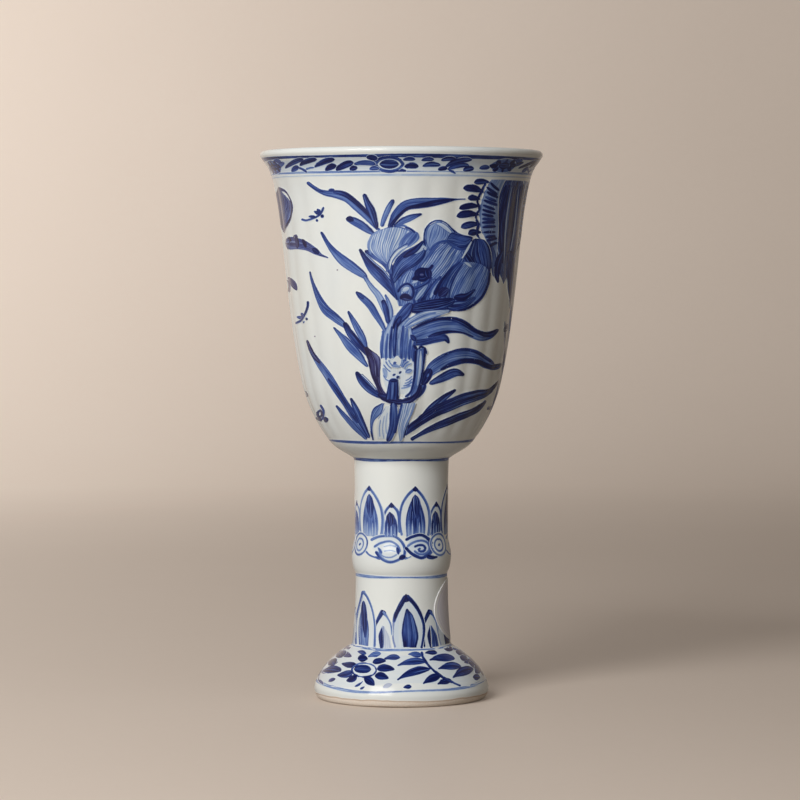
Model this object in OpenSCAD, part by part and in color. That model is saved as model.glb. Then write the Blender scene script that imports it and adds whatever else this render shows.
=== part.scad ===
// Porcelain stem cup: a lobed bell bowl luted to a hollow stem with a knop and a domed spreading foot.
// Millimetres, +Z up, origin at the centre of the standing ring. The front faces -Y.

/* [Bowl] */
// Height of the bowl from its seat on the stem to the top of the lip
bowl_h = 98; // [88:0.5:112]
// Diameter of the flat seat under the bowl
bowl_seat_d = 32.6; // [31:0.2:36]
// Diameter at the turned edge above the seat, where the lobes begin
bowl_edge_d = 45.8; // [42:0.2:50]
// Height of the turned edge above the seat
bowl_edge_h = 4.7; // [3.5:0.1:6]
// Diameter of the belly, where the wall turns upright
bowl_belly_d = 64.4; // [60:0.2:68]
// Height of the belly above the seat
bowl_belly_h = 24.3; // [20:0.1:28]
// Diameter of the waist, half way up the long side
bowl_waist_d = 75.4; // [71:0.2:79]
// Height of the waist above the seat
bowl_waist_h = 62.5; // [54:0.5:70]
// Diameter of the neck, where the lip starts to flare
bowl_neck_d = 84; // [80:0.2:87]
// Depth of the neck below the top of the lip
bowl_neck_drop = 7; // [5:0.1:9]
// Diameter over the lip
rim_d = 90.8; // [88:0.2:96]
// Thickness of the wall at the rounded lip
lip_t = 2.6; // [2:0.1:3.2]
// Thickness of the wall just above the turned edge
bowl_wall_t = 3.4; // [2.6:0.1:4.2]
// Thickness of the floor of the bowl over the stem
bowl_floor_t = 4.6; // [3.5:0.1:6]

/* [Lobes] */
// Number of upright convex lobes moulded round the wall
lobe_count = 28; // [16:1:32]
// Depth of the grooves between the lobes
lobe_depth = 0.25; // [0.1:0.05:0.6]
// Height over which the lobes fade out at each end
lobe_fade = 7; // [3:0.5:12]

/* [Stem] */
// Bore of the hollow stem, open at the foot
stem_bore_d = 21.2; // [16:0.2:23]
// Height of the upper section of the stem
upper_stem_h = 24; // [18:0.5:32]
// Diameter of the upper section where it meets the knop
upper_stem_d = 30; // [28:0.2:31.2]
// Diameter of the upper section where it meets the bowl
stem_top_d = 30.6; // [29:0.2:31.8]
// Height of the knop
knop_h = 12; // [9:0.5:16]
// Diameter over the knop
knop_d = 32; // [31.4:0.2:36]
// Height of the widest part of the knop above its lower edge
knop_crown_h = 5.4; // [4:0.1:6.5]
// Height of the lower section of the stem
lower_stem_h = 22.5; // [20:0.5:30]
// Diameter of the lower section where it meets the knop
lower_stem_d = 29.6; // [28:0.2:31.2]
// Diameter of the lower section where it spreads on to the foot
stem_base_d = 31.8; // [30.6:0.2:33]

/* [Foot] */
// Height of the foot up to its joint with the stem
foot_h = 17; // [14:0.5:20]
// Diameter of the top of the foot, under the stem
foot_top_d = 32.6; // [32:0.2:35]
// Diameter over the widest line of the foot
foot_d = 56.4; // [54:0.2:62]
// Height of the widest line above the table
foot_edge_h = 3.7; // [2.5:0.1:5]
// Outside diameter of the flat ring that the cup stands on
foot_ring_d = 52.4; // [49:0.2:53.6]
// Width of that ring
foot_ring_w = 3.6; // [2.6:0.1:5]
// Height of the vault hollowed under the foot
foot_vault_h = 11.5; // [8:0.1:12.5]

/* [Joints and label] */
// Thickness of the luting slip at the knop and the foot
slip_t = 0.5; // [0.3:0.1:1]
// Height of the slip fillet between the stem and the bowl
bowl_slip_h = 1; // [0.6:0.1:2]
// Diameter of the plain round paper label on the lower stem
label_d = 20; // [12:0.5:20]
// Thickness of the label
label_t = 0.2; // [0.1:0.05:0.4]
// Angle of the label, turned from the front towards the right
label_turn = 86; // [0:1:359]

/* [Hidden] */

// Faces round each revolved piece
round_fn = 128;
// Slopes of the bowl's outer wall, in degrees from level, at each of its named heights
seat_slope = 34;
edge_slope = 52;
belly_slope = 78;
waist_slope = 84;
neck_slope = 74;
// Lean of the lip: the flare runs into the rounded lip this far below its widest point
lip_lean = 33;
// Slopes of the knop where it leaves the lower and the upper stem
knop_lower_slope = 58;
knop_upper_slope = 94;
// How late the lower stem spreads towards the foot: higher is later
stem_spread = 2.4;
// How late the upper stem swells towards the bowl
stem_swell = 3;
// Handles of the foot's dome, as shares of its span outwards and downwards
dome_top_handle = [0.4, 0.21];
dome_edge_handle = [0.13, 0.44];
// Handles of the bowl's floor, as a share of its drop and of its radius
floor_wall_handle = 0.9;
floor_flat_handle = 0.55;
// Columns for each lobe, and rows in each stretch of the bowl's wall
lobe_columns = 4;
seat_rows = 2;
wall_rows = 5;
flare_rows = 4;
// Steps in the rounded lip and in the smaller curves
lip_steps = 6;
curve_steps = 9;

// Heights of the joints above the table, stacked from the foot up
lower_stem_z = foot_h + slip_t;
knop_base_z = lower_stem_z + lower_stem_h;
knop_z = knop_base_z + slip_t;
knop_top_z = knop_z + knop_h;
upper_stem_z = knop_top_z + slip_t;
stem_top_z = upper_stem_z + upper_stem_h;
bowl_z = stem_top_z + bowl_slip_h;

stem_bore_r = stem_bore_d / 2;
foot_hollow_r = foot_ring_d / 2 - foot_ring_w;
bowl_columns = lobe_count * lobe_columns;

// Porcelain, slip and paper colours
glaze_white = [0.90, 0.92, 0.90];
slip_white = [0.86, 0.84, 0.79];
paper_grey = [0.78, 0.78, 0.80];

function mix(a, b, t) = a + (b - a) * t;
function clamp01(t) = max(0, min(1, t));
function soft_step(t) = let (u = clamp01(t)) u * u * (3 - 2 * u);
function direction(slope) = [cos(slope), sin(slope)];

// A point on the smooth curve between two keys, each [radius, height, slope in degrees]
function curve_point(a, b, t) =
    let (p = [a[0], a[1]], q = [b[0], b[1]], reach = norm(q - p))
    p * (2 * t ^ 3 - 3 * t ^ 2 + 1) + direction(a[2]) * reach * (t ^ 3 - 2 * t ^ 2 + t)
    + q * (3 * t ^ 2 - 2 * t ^ 3) + direction(b[2]) * reach * (t ^ 3 - t ^ 2);

// The direction of travel on that curve
function curve_heading(a, b, t) =
    let (step = 0.01, ahead = curve_point(a, b, t + step) - curve_point(a, b, t - step))
    ahead / norm(ahead);

function bezier_point(p, t) =
    p[0] * (1 - t) ^ 3 + 3 * p[1] * (1 - t) ^ 2 * t + 3 * p[2] * (1 - t) * t ^ 2 + p[3] * t ^ 3;

function bezier(p, steps) = [for (i = [0:steps]) bezier_point(p, i / steps)];

// An elliptical arc about a centre, from one angle to another
function ellipse_arc(centre, radii, from, to, steps) =
    [for (i = [0:steps])
        let (angle = mix(from, to, i / steps))
        centre + [radii[0] * cos(angle), radii[1] * sin(angle)]];

// Keys of the bowl's outer wall, measured from its seat: radius, height, slope
lip_r = lip_t / 2;
lip_centre = [rim_d / 2 - lip_r, bowl_h - lip_r];
lip_start = lip_centre + lip_r * direction(-lip_lean);
bowl_neck_h = bowl_h - bowl_neck_drop;
seat_key = [bowl_seat_d / 2, 0, seat_slope];
edge_key = [bowl_edge_d / 2, bowl_edge_h, edge_slope];
belly_key = [bowl_belly_d / 2, bowl_belly_h, belly_slope];
waist_key = [bowl_waist_d / 2, bowl_waist_h, waist_slope];
neck_key = [bowl_neck_d / 2, bowl_neck_h, neck_slope];
lip_key = [lip_start[0], lip_start[1], 90 - lip_lean];

// How much of the lobes' depth shows at a height above the seat
function lobe_share(h) =
    soft_step((h - bowl_edge_h) / lobe_fade) * soft_step((bowl_neck_h - h) / lobe_fade);

// Wall thickness at a height above the seat, thinning towards the lip
function wall_at(h) = mix(bowl_wall_t, lip_t, clamp01((h - bowl_edge_h) / (lip_start[1] - bowl_edge_h)));

// Outer rows from key a up to key b, b itself left to the next stretch: radius, height, share of the lobes
function outer_rows(a, b, rows) =
    [for (i = [0:rows - 1])
        let (p = curve_point(a, b, i / rows))
        [p[0], p[1], lobe_share(p[1])]];

// Inner rows from key b down to key a, one wall inside the outer curve
function inner_rows(a, b, rows) =
    [for (i = [0:rows - 1])
        let (t = 1 - i / rows,
             p = curve_point(a, b, t),
             along = curve_heading(a, b, t),
             q = p + wall_at(p[1]) * [-along[1], along[0]])
        [q[0], q[1], 0]];

// The floor of the bowl, from the foot of its inner wall to the centre
function floor_rows(rows) =
    let (top = inner_rows(edge_key, belly_key, wall_rows)[wall_rows - 1],
         along = curve_heading(edge_key, belly_key, 1 / wall_rows),
         start = [top[0], top[1]],
         drop = top[1] - bowl_floor_t,
         handles = [start,
                    start - along * drop * floor_wall_handle,
                    [top[0] * floor_flat_handle, bowl_floor_t],
                    [0, bowl_floor_t]])
    [for (i = [1:rows - 1]) let (p = bezier_point(handles, i / rows)) [p[0], p[1], 0]];

function lip_rows() =
    [for (p = ellipse_arc(lip_centre, [lip_r, lip_r], -lip_lean, 180 - lip_lean, lip_steps)) [p[0], p[1], 0]];

// Every row of the bowl in order: up the outside, over the lip and down the inside
bowl_rows = concat(
    outer_rows(seat_key, edge_key, seat_rows),
    outer_rows(edge_key, belly_key, wall_rows),
    outer_rows(belly_key, waist_key, wall_rows),
    outer_rows(waist_key, neck_key, wall_rows),
    outer_rows(neck_key, lip_key, flare_rows),
    lip_rows(),
    [for (i = [1:flare_rows - 1]) inner_rows(neck_key, lip_key, flare_rows)[i]],
    inner_rows(waist_key, neck_key, wall_rows),
    inner_rows(belly_key, waist_key, wall_rows),
    inner_rows(edge_key, belly_key, wall_rows),
    floor_rows(wall_rows));

// Groove depth at an angle: nothing on the crown of a lobe, the full depth between two lobes
function groove_at(angle) = lobe_depth * (1 - abs(sin(lobe_count * angle / 2)));

bowl_points = concat(
    [[0, 0, 0]],
    [for (row = bowl_rows, j = [0:bowl_columns - 1])
        let (angle = 360 * j / bowl_columns, r = row[0] - row[2] * groove_at(angle))
        [r * sin(angle), -r * cos(angle), row[1]]],
    [[0, 0, bowl_floor_t]]);

// Index of a point on the bowl by row and column
function bowl_index(row, column) = 1 + row * bowl_columns + column % bowl_columns;

last_row = len(bowl_rows) - 1;
bowl_faces = concat(
    [for (j = [0:bowl_columns - 1]) [0, bowl_index(0, j), bowl_index(0, j + 1)]],
    [for (i = [0:last_row - 1], j = [0:bowl_columns - 1], half = [0, 1])
        half == 0
        ? [bowl_index(i, j), bowl_index(i + 1, j), bowl_index(i + 1, j + 1)]
        : [bowl_index(i, j), bowl_index(i + 1, j + 1), bowl_index(i, j + 1)]],
    [for (j = [0:bowl_columns - 1])
        [bowl_index(last_row, j), len(bowl_points) - 1, bowl_index(last_row, j + 1)]]);

// Outer radius of the lower stem at a height above its base: straight, then spreading to the foot
function lower_stem_r(h) =
    mix(lower_stem_d / 2, stem_base_d / 2, (1 - h / lower_stem_h) ^ stem_spread);

// Points up the outside of the lower stem, pushed out by a given amount
function lower_stem_side(out) =
    [for (i = [0:curve_steps]) let (h = lower_stem_h * i / curve_steps) [lower_stem_r(h) + out, h]];

module revolve(profile) {
    rotate_extrude($fn = round_fn) polygon(profile);
}

// A ring of slip between two joint faces, hollowed like a finger-wiped fillet
module slip_ring(lower_d, upper_d, height) {
    waist = (min(lower_d, upper_d) - height / 2) / 2;
    revolve([[stem_bore_r, 0], [lower_d / 2, 0], [waist, height / 2], [upper_d / 2, height],
             [stem_bore_r, height]]);
}

module bowl() {
    color(glaze_white) translate([0, 0, bowl_z]) polyhedron(bowl_points, bowl_faces);
}

module bowl_slip() {
    fillet = [stem_top_d / 2 - bowl_seat_d / 2, -bowl_slip_h];
    color(slip_white) translate([0, 0, stem_top_z])
        revolve(concat(
            [[stem_bore_r, 0]],
            ellipse_arc([bowl_seat_d / 2, 0], [fillet[0], -fillet[1]], 0, 90, curve_steps),
            [[stem_bore_r, bowl_slip_h]]));
}

module upper_stem() {
    swell = (stem_top_d - upper_stem_d) / 2;
    side = [for (i = [0:curve_steps])
        let (t = i / curve_steps)
        [upper_stem_d / 2 + swell * t ^ stem_swell, upper_stem_h * t]];
    color(glaze_white) translate([0, 0, upper_stem_z])
        revolve(concat([[stem_bore_r, 0]], side, [[stem_bore_r, upper_stem_h]]));
}

module knop_top_slip() {
    color(slip_white) translate([0, 0, knop_top_z]) slip_ring(upper_stem_d, upper_stem_d, slip_t);
}

module knop() {
    crown = [knop_d / 2, knop_crown_h, 90];
    lower = [lower_stem_d / 2, 0, knop_lower_slope];
    upper = [upper_stem_d / 2, knop_h, knop_upper_slope];
    swell = concat(
        [for (i = [0:curve_steps - 1]) curve_point(lower, crown, i / curve_steps)],
        [for (i = [0:curve_steps]) curve_point(crown, upper, i / curve_steps)]);
    color(glaze_white) translate([0, 0, knop_z])
        revolve(concat([[stem_bore_r, 0]], swell, [[stem_bore_r, knop_h]]));
}

module knop_base_slip() {
    color(slip_white) translate([0, 0, knop_base_z]) slip_ring(lower_stem_d, lower_stem_d, slip_t);
}

module lower_stem() {
    color(glaze_white) translate([0, 0, lower_stem_z])
        revolve(concat([[stem_bore_r, 0]], lower_stem_side(0), [[stem_bore_r, lower_stem_h]]));
}

module foot_slip() {
    color(slip_white) translate([0, 0, foot_h]) slip_ring(foot_top_d, stem_base_d, slip_t);
}

module foot() {
    top = [foot_top_d / 2, foot_h];
    edge = [foot_d / 2, foot_edge_h];
    span = edge - top;
    top_handle = [span[0] * dome_top_handle[0], span[1] * dome_top_handle[1]];
    edge_handle = [span[0] * dome_edge_handle[0], span[1] * dome_edge_handle[1]];
    dome = bezier([top, top + top_handle, edge - edge_handle, edge], curve_steps);
    rolled_edge = ellipse_arc([foot_ring_d / 2, foot_edge_h],
                              [(foot_d - foot_ring_d) / 2, foot_edge_h], 0, -90, curve_steps);
    vault = ellipse_arc([stem_bore_r, 0], [foot_hollow_r - stem_bore_r, foot_vault_h], 0, 90, curve_steps);
    color(glaze_white)
        revolve(concat(dome, [for (i = [1:curve_steps]) rolled_edge[i]], vault, [[stem_bore_r, foot_h]]));
}

// A disc of paper curved round the lower stem, centred on its height
module round_label() {
    outline = concat(lower_stem_side(0), [for (i = [curve_steps:-1:0]) lower_stem_side(label_t)[i]]);
    color(paper_grey) translate([0, 0, lower_stem_z])
        intersection() {
            revolve(outline);
            translate([0, 0, lower_stem_h / 2]) rotate([90, 0, label_turn])
                cylinder(h = stem_base_d, d = label_d, $fn = round_fn);
        }
}

bowl();
bowl_slip();
upper_stem();
knop_top_slip();
knop();
knop_base_slip();
lower_stem();
foot_slip();
foot();
round_label();
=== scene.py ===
"""A blue and white porcelain stem cup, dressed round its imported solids.

The glazed pieces are turned from the same formulas as the solids that they stand for. The cobalt
painting lies on them as thin strokes, each a strip of mesh that carries its own brush coordinates.
Sizes are in millimetres until a point is placed, angles in degrees, turned from the front to the right.
"""

import bisect
import logging
import math
import random
from dataclasses import dataclass, field
from enum import Enum
from functools import cached_property
from typing import Any, ClassVar, Iterable, Sequence, Union

import bmesh
import bpy
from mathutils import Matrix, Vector


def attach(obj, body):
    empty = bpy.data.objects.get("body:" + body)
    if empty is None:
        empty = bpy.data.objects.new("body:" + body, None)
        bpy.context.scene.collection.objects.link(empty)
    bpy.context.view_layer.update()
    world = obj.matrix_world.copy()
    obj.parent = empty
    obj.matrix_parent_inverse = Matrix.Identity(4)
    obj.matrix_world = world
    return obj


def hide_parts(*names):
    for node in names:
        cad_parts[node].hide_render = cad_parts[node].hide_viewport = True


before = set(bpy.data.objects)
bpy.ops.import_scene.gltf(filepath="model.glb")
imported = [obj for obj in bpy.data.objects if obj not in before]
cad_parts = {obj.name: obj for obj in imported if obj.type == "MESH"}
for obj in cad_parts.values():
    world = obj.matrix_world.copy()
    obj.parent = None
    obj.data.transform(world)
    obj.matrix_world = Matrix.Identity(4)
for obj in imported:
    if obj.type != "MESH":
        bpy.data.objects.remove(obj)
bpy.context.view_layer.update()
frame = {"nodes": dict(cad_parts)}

LOG = logging.getLogger("stem_cup")
MM = 0.001
BODY = "root"

Point = tuple[float, float]
Colour = tuple[float, float, float]
Number = Union[float, "Value"]


def mix(a: float, b: float, t: float) -> float:
    """A number between a and b."""
    return a + (b - a) * t


def soft_step(t: float) -> float:
    """An eased step from 0 to 1."""
    u = max(0.0, min(1.0, t))
    return u * u * (3 - 2 * u)


# Shader nodes


class Value:
    """A number on a shader socket, on which arithmetic adds Math nodes."""

    def __init__(self, tree: "Finish", socket: bpy.types.NodeSocket) -> None:
        """Keeps the finish that the socket belongs to and the socket."""
        self.tree = tree
        self.socket = socket

    def math(self, operation: str, *others: Number, clamp: bool = False) -> "Value":
        """Adds one Math node.

        Args:
            operation: the Math node's operation.
            others: the second and third operands.
            clamp: whether the result stays between 0 and 1.
        Returns:
            The node's result.
        """
        return self.tree.arithmetic(operation, (self, *others), clamp)

    def __add__(self, other: Number) -> "Value":
        """The sum."""
        return self.math("ADD", other)

    __radd__ = __add__

    def __mul__(self, other: Number) -> "Value":
        """The product."""
        return self.math("MULTIPLY", other)

    __rmul__ = __mul__

    def __sub__(self, other: Number) -> "Value":
        """The difference."""
        return self.math("SUBTRACT", other)

    def __rsub__(self, other: Number) -> "Value":
        """The difference from a number."""
        return self.tree.arithmetic("SUBTRACT", (other, self), False)

    def __truediv__(self, other: Number) -> "Value":
        """The quotient."""
        return self.math("DIVIDE", other)

    def clamped(self) -> "Value":
        """The value kept between 0 and 1."""
        return self.math("ADD", 0.0, clamp=True)

    def step(self, low: float, high: float) -> "Value":
        """An eased step.

        Args:
            low: where the step starts.
            high: where it ends; below low the step falls.
        Returns:
            A value from 0 to 1.
        """
        settings = {"interpolation_type": "SMOOTHSTEP"}
        sockets = {"Value": self, "From Min": low, "From Max": high}
        return self.tree.value("ShaderNodeMapRange", settings, sockets, "Result")


class Finish:
    """The node tree of one finish."""

    def __init__(self, name: str) -> None:
        """Starts an empty material with its output and its shader."""
        self.material = bpy.data.materials.new(name)
        self.material.use_nodes = True
        self.nodes = self.material.node_tree.nodes
        self.links = self.material.node_tree.links
        self.nodes.clear()
        self.shader = self.node("ShaderNodeBsdfPrincipled")
        self.node("ShaderNodeOutputMaterial", sockets={"Surface": self.shader.outputs["BSDF"]})

    def node(
        self, kind: str, settings: dict[str, Any] | None = None, sockets: dict[Any, Any] | None = None
    ) -> bpy.types.Node:
        """Adds any node.

        Args:
            kind: the node's type.
            settings: its settings, with a ramp's stops under "stops".
            sockets: values or links of its inputs, by name or number.
        Returns:
            The node.
        """
        made = self.nodes.new(kind)
        for name, setting in (settings or {}).items():
            if name == "stops":
                self._set_stops(made.color_ramp, setting)
            else:
                setattr(made, name, setting)
        for name, given in (sockets or {}).items():
            self.feed(made.inputs[name], given)
        return made

    @staticmethod
    def _set_stops(ramp: bpy.types.ColorRamp, stops: Sequence[tuple[float, Colour]]) -> None:
        """Gives a ramp its stops, each a position and a colour."""
        while len(ramp.elements) < len(stops):
            ramp.elements.new(1.0)
        for element, (position, colour) in zip(ramp.elements, stops):
            element.position = position
            element.color = (*colour, 1.0)

    def feed(self, socket: bpy.types.NodeSocket, given: Any) -> None:
        """Links a value or a socket to an input, or sets a plain number or colour on it."""
        if isinstance(given, Value):
            self.links.new(given.socket, socket)
        elif isinstance(given, bpy.types.NodeSocket):
            self.links.new(given, socket)
        elif isinstance(given, tuple) and len(given) == 3 and socket.type == "RGBA":
            socket.default_value = (*given, 1.0)
        else:
            socket.default_value = given

    def value(
        self, kind: str, settings: dict[str, Any] | None, sockets: dict[Any, Any] | None, output: Any = 0
    ) -> Value:
        """Adds any node and wraps one of its outputs."""
        return Value(self, self.node(kind, settings, sockets).outputs[output])

    def arithmetic(self, operation: str, operands: Iterable[Number], clamp: bool) -> Value:
        """Adds a Math node on the operands in order."""
        settings = {"operation": operation, "use_clamp": clamp}
        return self.value("ShaderNodeMath", settings, dict(enumerate(operands)), "Value")

    def attribute(self, name: str) -> Value:
        """A number that the mesh carries at its points."""
        return self.value("ShaderNodeAttribute", {"attribute_name": name}, None, "Fac")

    def place(self) -> bpy.types.NodeSocket:
        """Object coordinates, in metres."""
        return self.node("ShaderNodeTexCoord").outputs["Object"]

    def noise(self, vector: Any, scale: float, detail: float = 2.0, roughness: float = 0.5) -> Value:
        """Noise between 0 and 1.

        Args:
            vector: where it is read.
            scale: its cells in each unit of length.
            detail: its octaves.
            roughness: how strong the finer octaves are.
        Returns:
            The noise's value.
        """
        sockets = {"Vector": vector, "Scale": scale, "Detail": detail, "Roughness": roughness}
        return self.value("ShaderNodeTexNoise", None, sockets, "Fac")

    def vector(self, x: Number, y: Number, z: Number) -> bpy.types.NodeSocket:
        """A vector from three numbers."""
        return self.node("ShaderNodeCombineXYZ", None, {"X": x, "Y": y, "Z": z}).outputs[0]

    def axis(self, vector: bpy.types.NodeSocket, name: str) -> Value:
        """One component of a vector."""
        return self.value("ShaderNodeSeparateXYZ", None, {0: vector}, name)

    def blend(self, factor: Number, a: Any, b: Any, how: str = "MIX") -> bpy.types.NodeSocket:
        """Mixes two colours.

        Args:
            factor: how much of b.
            a: the first colour or socket.
            b: the second colour or socket.
            how: the Mix node's blend type.
        Returns:
            The mixed colour's socket.
        """
        made = self.node("ShaderNodeMix", {"data_type": "RGBA", "blend_type": how})
        self.feed(made.inputs["Factor"], factor)
        self.feed(made.inputs[6], a)
        self.feed(made.inputs[7], b)
        return made.outputs[2]

    def ramp(self, factor: Value, stops: Sequence[tuple[float, Colour]]) -> bpy.types.NodeSocket:
        """A colour ramp."""
        return self.node("ShaderNodeValToRGB", {"stops": stops}, {"Fac": factor}).outputs["Color"]

    def bump(self, height: Value, strength: float, distance: float) -> bpy.types.NodeSocket:
        """A bump normal from a height."""
        sockets = {"Strength": strength, "Distance": distance, "Height": height}
        return self.node("ShaderNodeBump", None, sockets).outputs["Normal"]

    def dress(self, **sockets: Any) -> bpy.types.Material:
        """Feeds the shader's sockets, named with underscores for spaces.

        Args:
            sockets: values or links by the shader's socket name.
        Returns:
            The finished material.
        """
        for name, given in sockets.items():
            self.feed(self.shader.inputs[name.replace("_", " ")], given)
        return self.material


@dataclass(frozen=True)
class Glaze:
    """The clear, faintly green-white glaze over the porcelain."""

    white: Colour = (0.80, 0.82, 0.785)
    cool: Colour = (0.77, 0.80, 0.785)
    speck: Colour = (0.30, 0.22, 0.15)
    roughness: float = 0.13
    gloss_spread: float = 0.05
    specular: float = 0.24
    cloud_scale: float = 38.0
    cloud_band: Point = (0.35, 0.7)
    peel_scale: float = 210.0
    peel_depth: float = 0.00007
    peel_strength: float = 0.35
    speck_scale: float = 190.0
    speck_rarity: Point = (0.985, 0.99)
    speck_size: Point = (0.11, 0.05)
    speck_strength: float = 0.7

    def body(self, finish: Finish) -> bpy.types.NodeSocket:
        """The glaze's own colour, faintly clouded."""
        cloud = finish.noise(finish.place(), self.cloud_scale, 3.0).step(*self.cloud_band)
        return finish.blend(cloud, self.white, self.cool)

    def skin(self, finish: Finish) -> dict[str, Any]:
        """The sockets that every glazed surface shares: gloss and the faint unevenness of the glaze."""
        peel = finish.noise(finish.place(), self.peel_scale, 1.0)
        gloss = finish.noise(finish.place(), self.cloud_scale * 3, 2.0) * self.gloss_spread
        return {
            "Roughness": gloss + (self.roughness - self.gloss_spread / 2),
            "Specular_IOR_Level": self.specular,
            "Normal": finish.bump(peel, self.peel_strength, self.peel_depth),
        }

    def material(self) -> bpy.types.Material:
        """The plain glaze, with a few iron specks."""
        finish = Finish("clear_glaze")
        sockets = {"Vector": finish.place(), "Scale": self.speck_scale, "Randomness": 1.0}
        cells = finish.node("ShaderNodeTexVoronoi", {"feature": "F1"}, sockets)
        rare = finish.axis(cells.outputs["Color"], "X").step(*self.speck_rarity)
        near = Value(finish, cells.outputs["Distance"]).step(*self.speck_size)
        colour = finish.blend(rare * near * self.speck_strength, self.body(finish), self.speck)
        return finish.dress(Base_Color=colour, **self.skin(finish))


@dataclass(frozen=True)
class FootFinish:
    """Glaze that stops short of the standing ring, where the clay is bare."""

    clay: Colour = (0.90, 0.77, 0.64)
    clay_light: Colour = (0.94, 0.85, 0.75)
    rust: Colour = (0.34, 0.17, 0.075)
    glaze_stop: float = 0.0021
    glaze_edge: float = 0.00045
    wander_scale: float = 90.0
    wander_reach: float = 0.0016
    band_reach: float = 0.0004
    rust_strength: float = 0.6
    bottom_darkening: float = 0.5
    clay_roughness: float = 0.82
    grain_scale: float = 2600.0
    grain_depth: float = 0.00015

    def material(self, glaze: Glaze) -> bpy.types.Material:
        """The foot's finish.

        Args:
            glaze: the glaze that covers the rest of the cup.
        Returns:
            The material.
        """
        finish = Finish("foot_glaze_and_bare_clay")
        place = finish.place()
        wander = (finish.noise(place, self.wander_scale, 3.0) - 0.5) * self.wander_reach
        height = finish.axis(place, "Z") + wander
        bare = height.step(self.glaze_stop + self.glaze_edge, self.glaze_stop)
        rim = height.step(self.glaze_stop - self.band_reach, self.glaze_stop)
        rusty = bare * rim * self.rust_strength
        grain = finish.noise(place, self.grain_scale, 3.0, 0.65)
        clay = finish.blend(grain.step(0.3, 0.7), self.clay, self.clay_light)
        clay = finish.blend(rusty, clay, self.rust)
        # The lowest band of the bare ring is blended towards the same rust brown, darkest at the bottom
        # edge.
        bottom_band = height.step(self.band_reach, 0.0) * self.bottom_darkening
        clay = finish.blend(bottom_band, clay, self.rust)
        shared = glaze.skin(finish)
        roughness = shared.pop("Roughness") * (1 - bare) + bare * self.clay_roughness
        shared["Normal"] = finish.bump(grain * bare, 0.5, self.grain_depth)
        colour = finish.blend(bare, glaze.body(finish), clay)
        return finish.dress(Base_Color=colour, Roughness=roughness, **shared)


@dataclass(frozen=True)
class Cobalt:
    """Cobalt painted under the glaze, from a pale wash to nearly black where it pools."""

    washes: tuple[tuple[float, Colour], ...] = (
        (0.0, (1.0, 1.0, 1.0)),
        (0.16, (0.74, 0.82, 0.95)),
        (0.32, (0.41, 0.53, 0.82)),
        (0.50, (0.15, 0.25, 0.60)),
        (0.66, (0.050, 0.105, 0.40)),
        (0.82, (0.016, 0.036, 0.21)),
        (1.0, (0.007, 0.012, 0.095)),
    )
    irons: tuple[tuple[float, Colour], ...] = (
        (0.0, (1.0, 1.0, 1.0)),
        (0.4, (0.50, 0.42, 0.56)),
        (0.8, (0.085, 0.05, 0.11)),
        (1.0, (0.035, 0.018, 0.04)),
    )
    hatch_pitch: float = 0.76
    hatch_depth: float = 0.44
    hair_width: float = 0.34
    hair_length: float = 12.0
    hair_depth: float = 0.36
    streak_width: float = 0.95
    streak_length: float = 9.0
    edge_width: float = 0.62
    feather: float = 0.38
    ragged_scale: float = 1700.0
    ragged_reach: float = 0.14
    mottle_scale: float = 330.0

    def streaks(self, finish: Finish, width: float, length: float, seed: float) -> Value:
        """Noise drawn out along the brush.

        Args:
            finish: the finish it belongs to.
            width: the streaks' width in millimetres.
            length: their length in millimetres.
            seed: a number that sets one set apart from another.
        Returns:
            The noise's value.
        """
        along = finish.attribute("along") / length
        across = finish.attribute("across") / width
        return finish.noise(finish.vector(along, across, seed), 1.0, 2.0)

    def pale_lines(self, finish: Finish) -> Value:
        """The thin lines that the brush leaves bare in a hatched petal."""
        drift = self.streaks(finish, 2.2, 6.0, 7.0)
        turn = finish.attribute("across") * (2 * math.pi / self.hatch_pitch) + drift * 6.5
        strength = self.streaks(finish, self.hatch_pitch, 5.0, 5.0).step(0.3, 0.68) * 0.85 + 0.15
        lines = (turn.math("SINE") * 0.5 + 0.5).step(0.3, 1.0)
        return (lines * strength * finish.attribute("hatch") * self.hatch_depth).clamped()

    def material(self, glaze: Glaze) -> bpy.types.Material:
        """The painted glaze.

        Args:
            glaze: the glaze that the cobalt lies under.
        Returns:
            The material, which reads the brush's numbers from the mesh.
        """
        finish = Finish("cobalt_under_glaze")
        tone = finish.attribute("tone")
        edge = finish.attribute("edge")
        under = finish.attribute("under")
        ragged = finish.noise(finish.place(), self.ragged_scale, 2.0)
        mottle = finish.noise(finish.place(), self.mottle_scale, 3.0)
        streak = self.streaks(finish, self.streak_width, self.streak_length, 0.0).step(0.25, 0.75)
        hairs = self.streaks(finish, self.hair_width, self.hair_length, 3.0).step(0.5, 0.7)
        wash = tone * (0.66 + streak * 0.44 + mottle * 0.24)
        wash = wash * (1 - hairs * edge.step(0.25, 0.7) * self.hair_depth) * (1 - self.pale_lines(finish))
        rim = edge.step(self.edge_width, self.edge_width * 0.4)
        pooled = finish.attribute("outline") * rim * (0.7 + ragged * 0.6)
        inside = (edge - (ragged - 0.5) * self.ragged_reach).step(0.0, self.feather)
        density = (under + (wash + pooled - under) * inside).clamped()
        blues = finish.ramp(density, self.washes)
        stain = finish.blend(finish.attribute("iron"), blues, finish.ramp(density, self.irons))
        colour = finish.blend(1.0, glaze.body(finish), stain, "MULTIPLY")
        return finish.dress(Base_Color=colour, **glaze.skin(finish))


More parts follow.
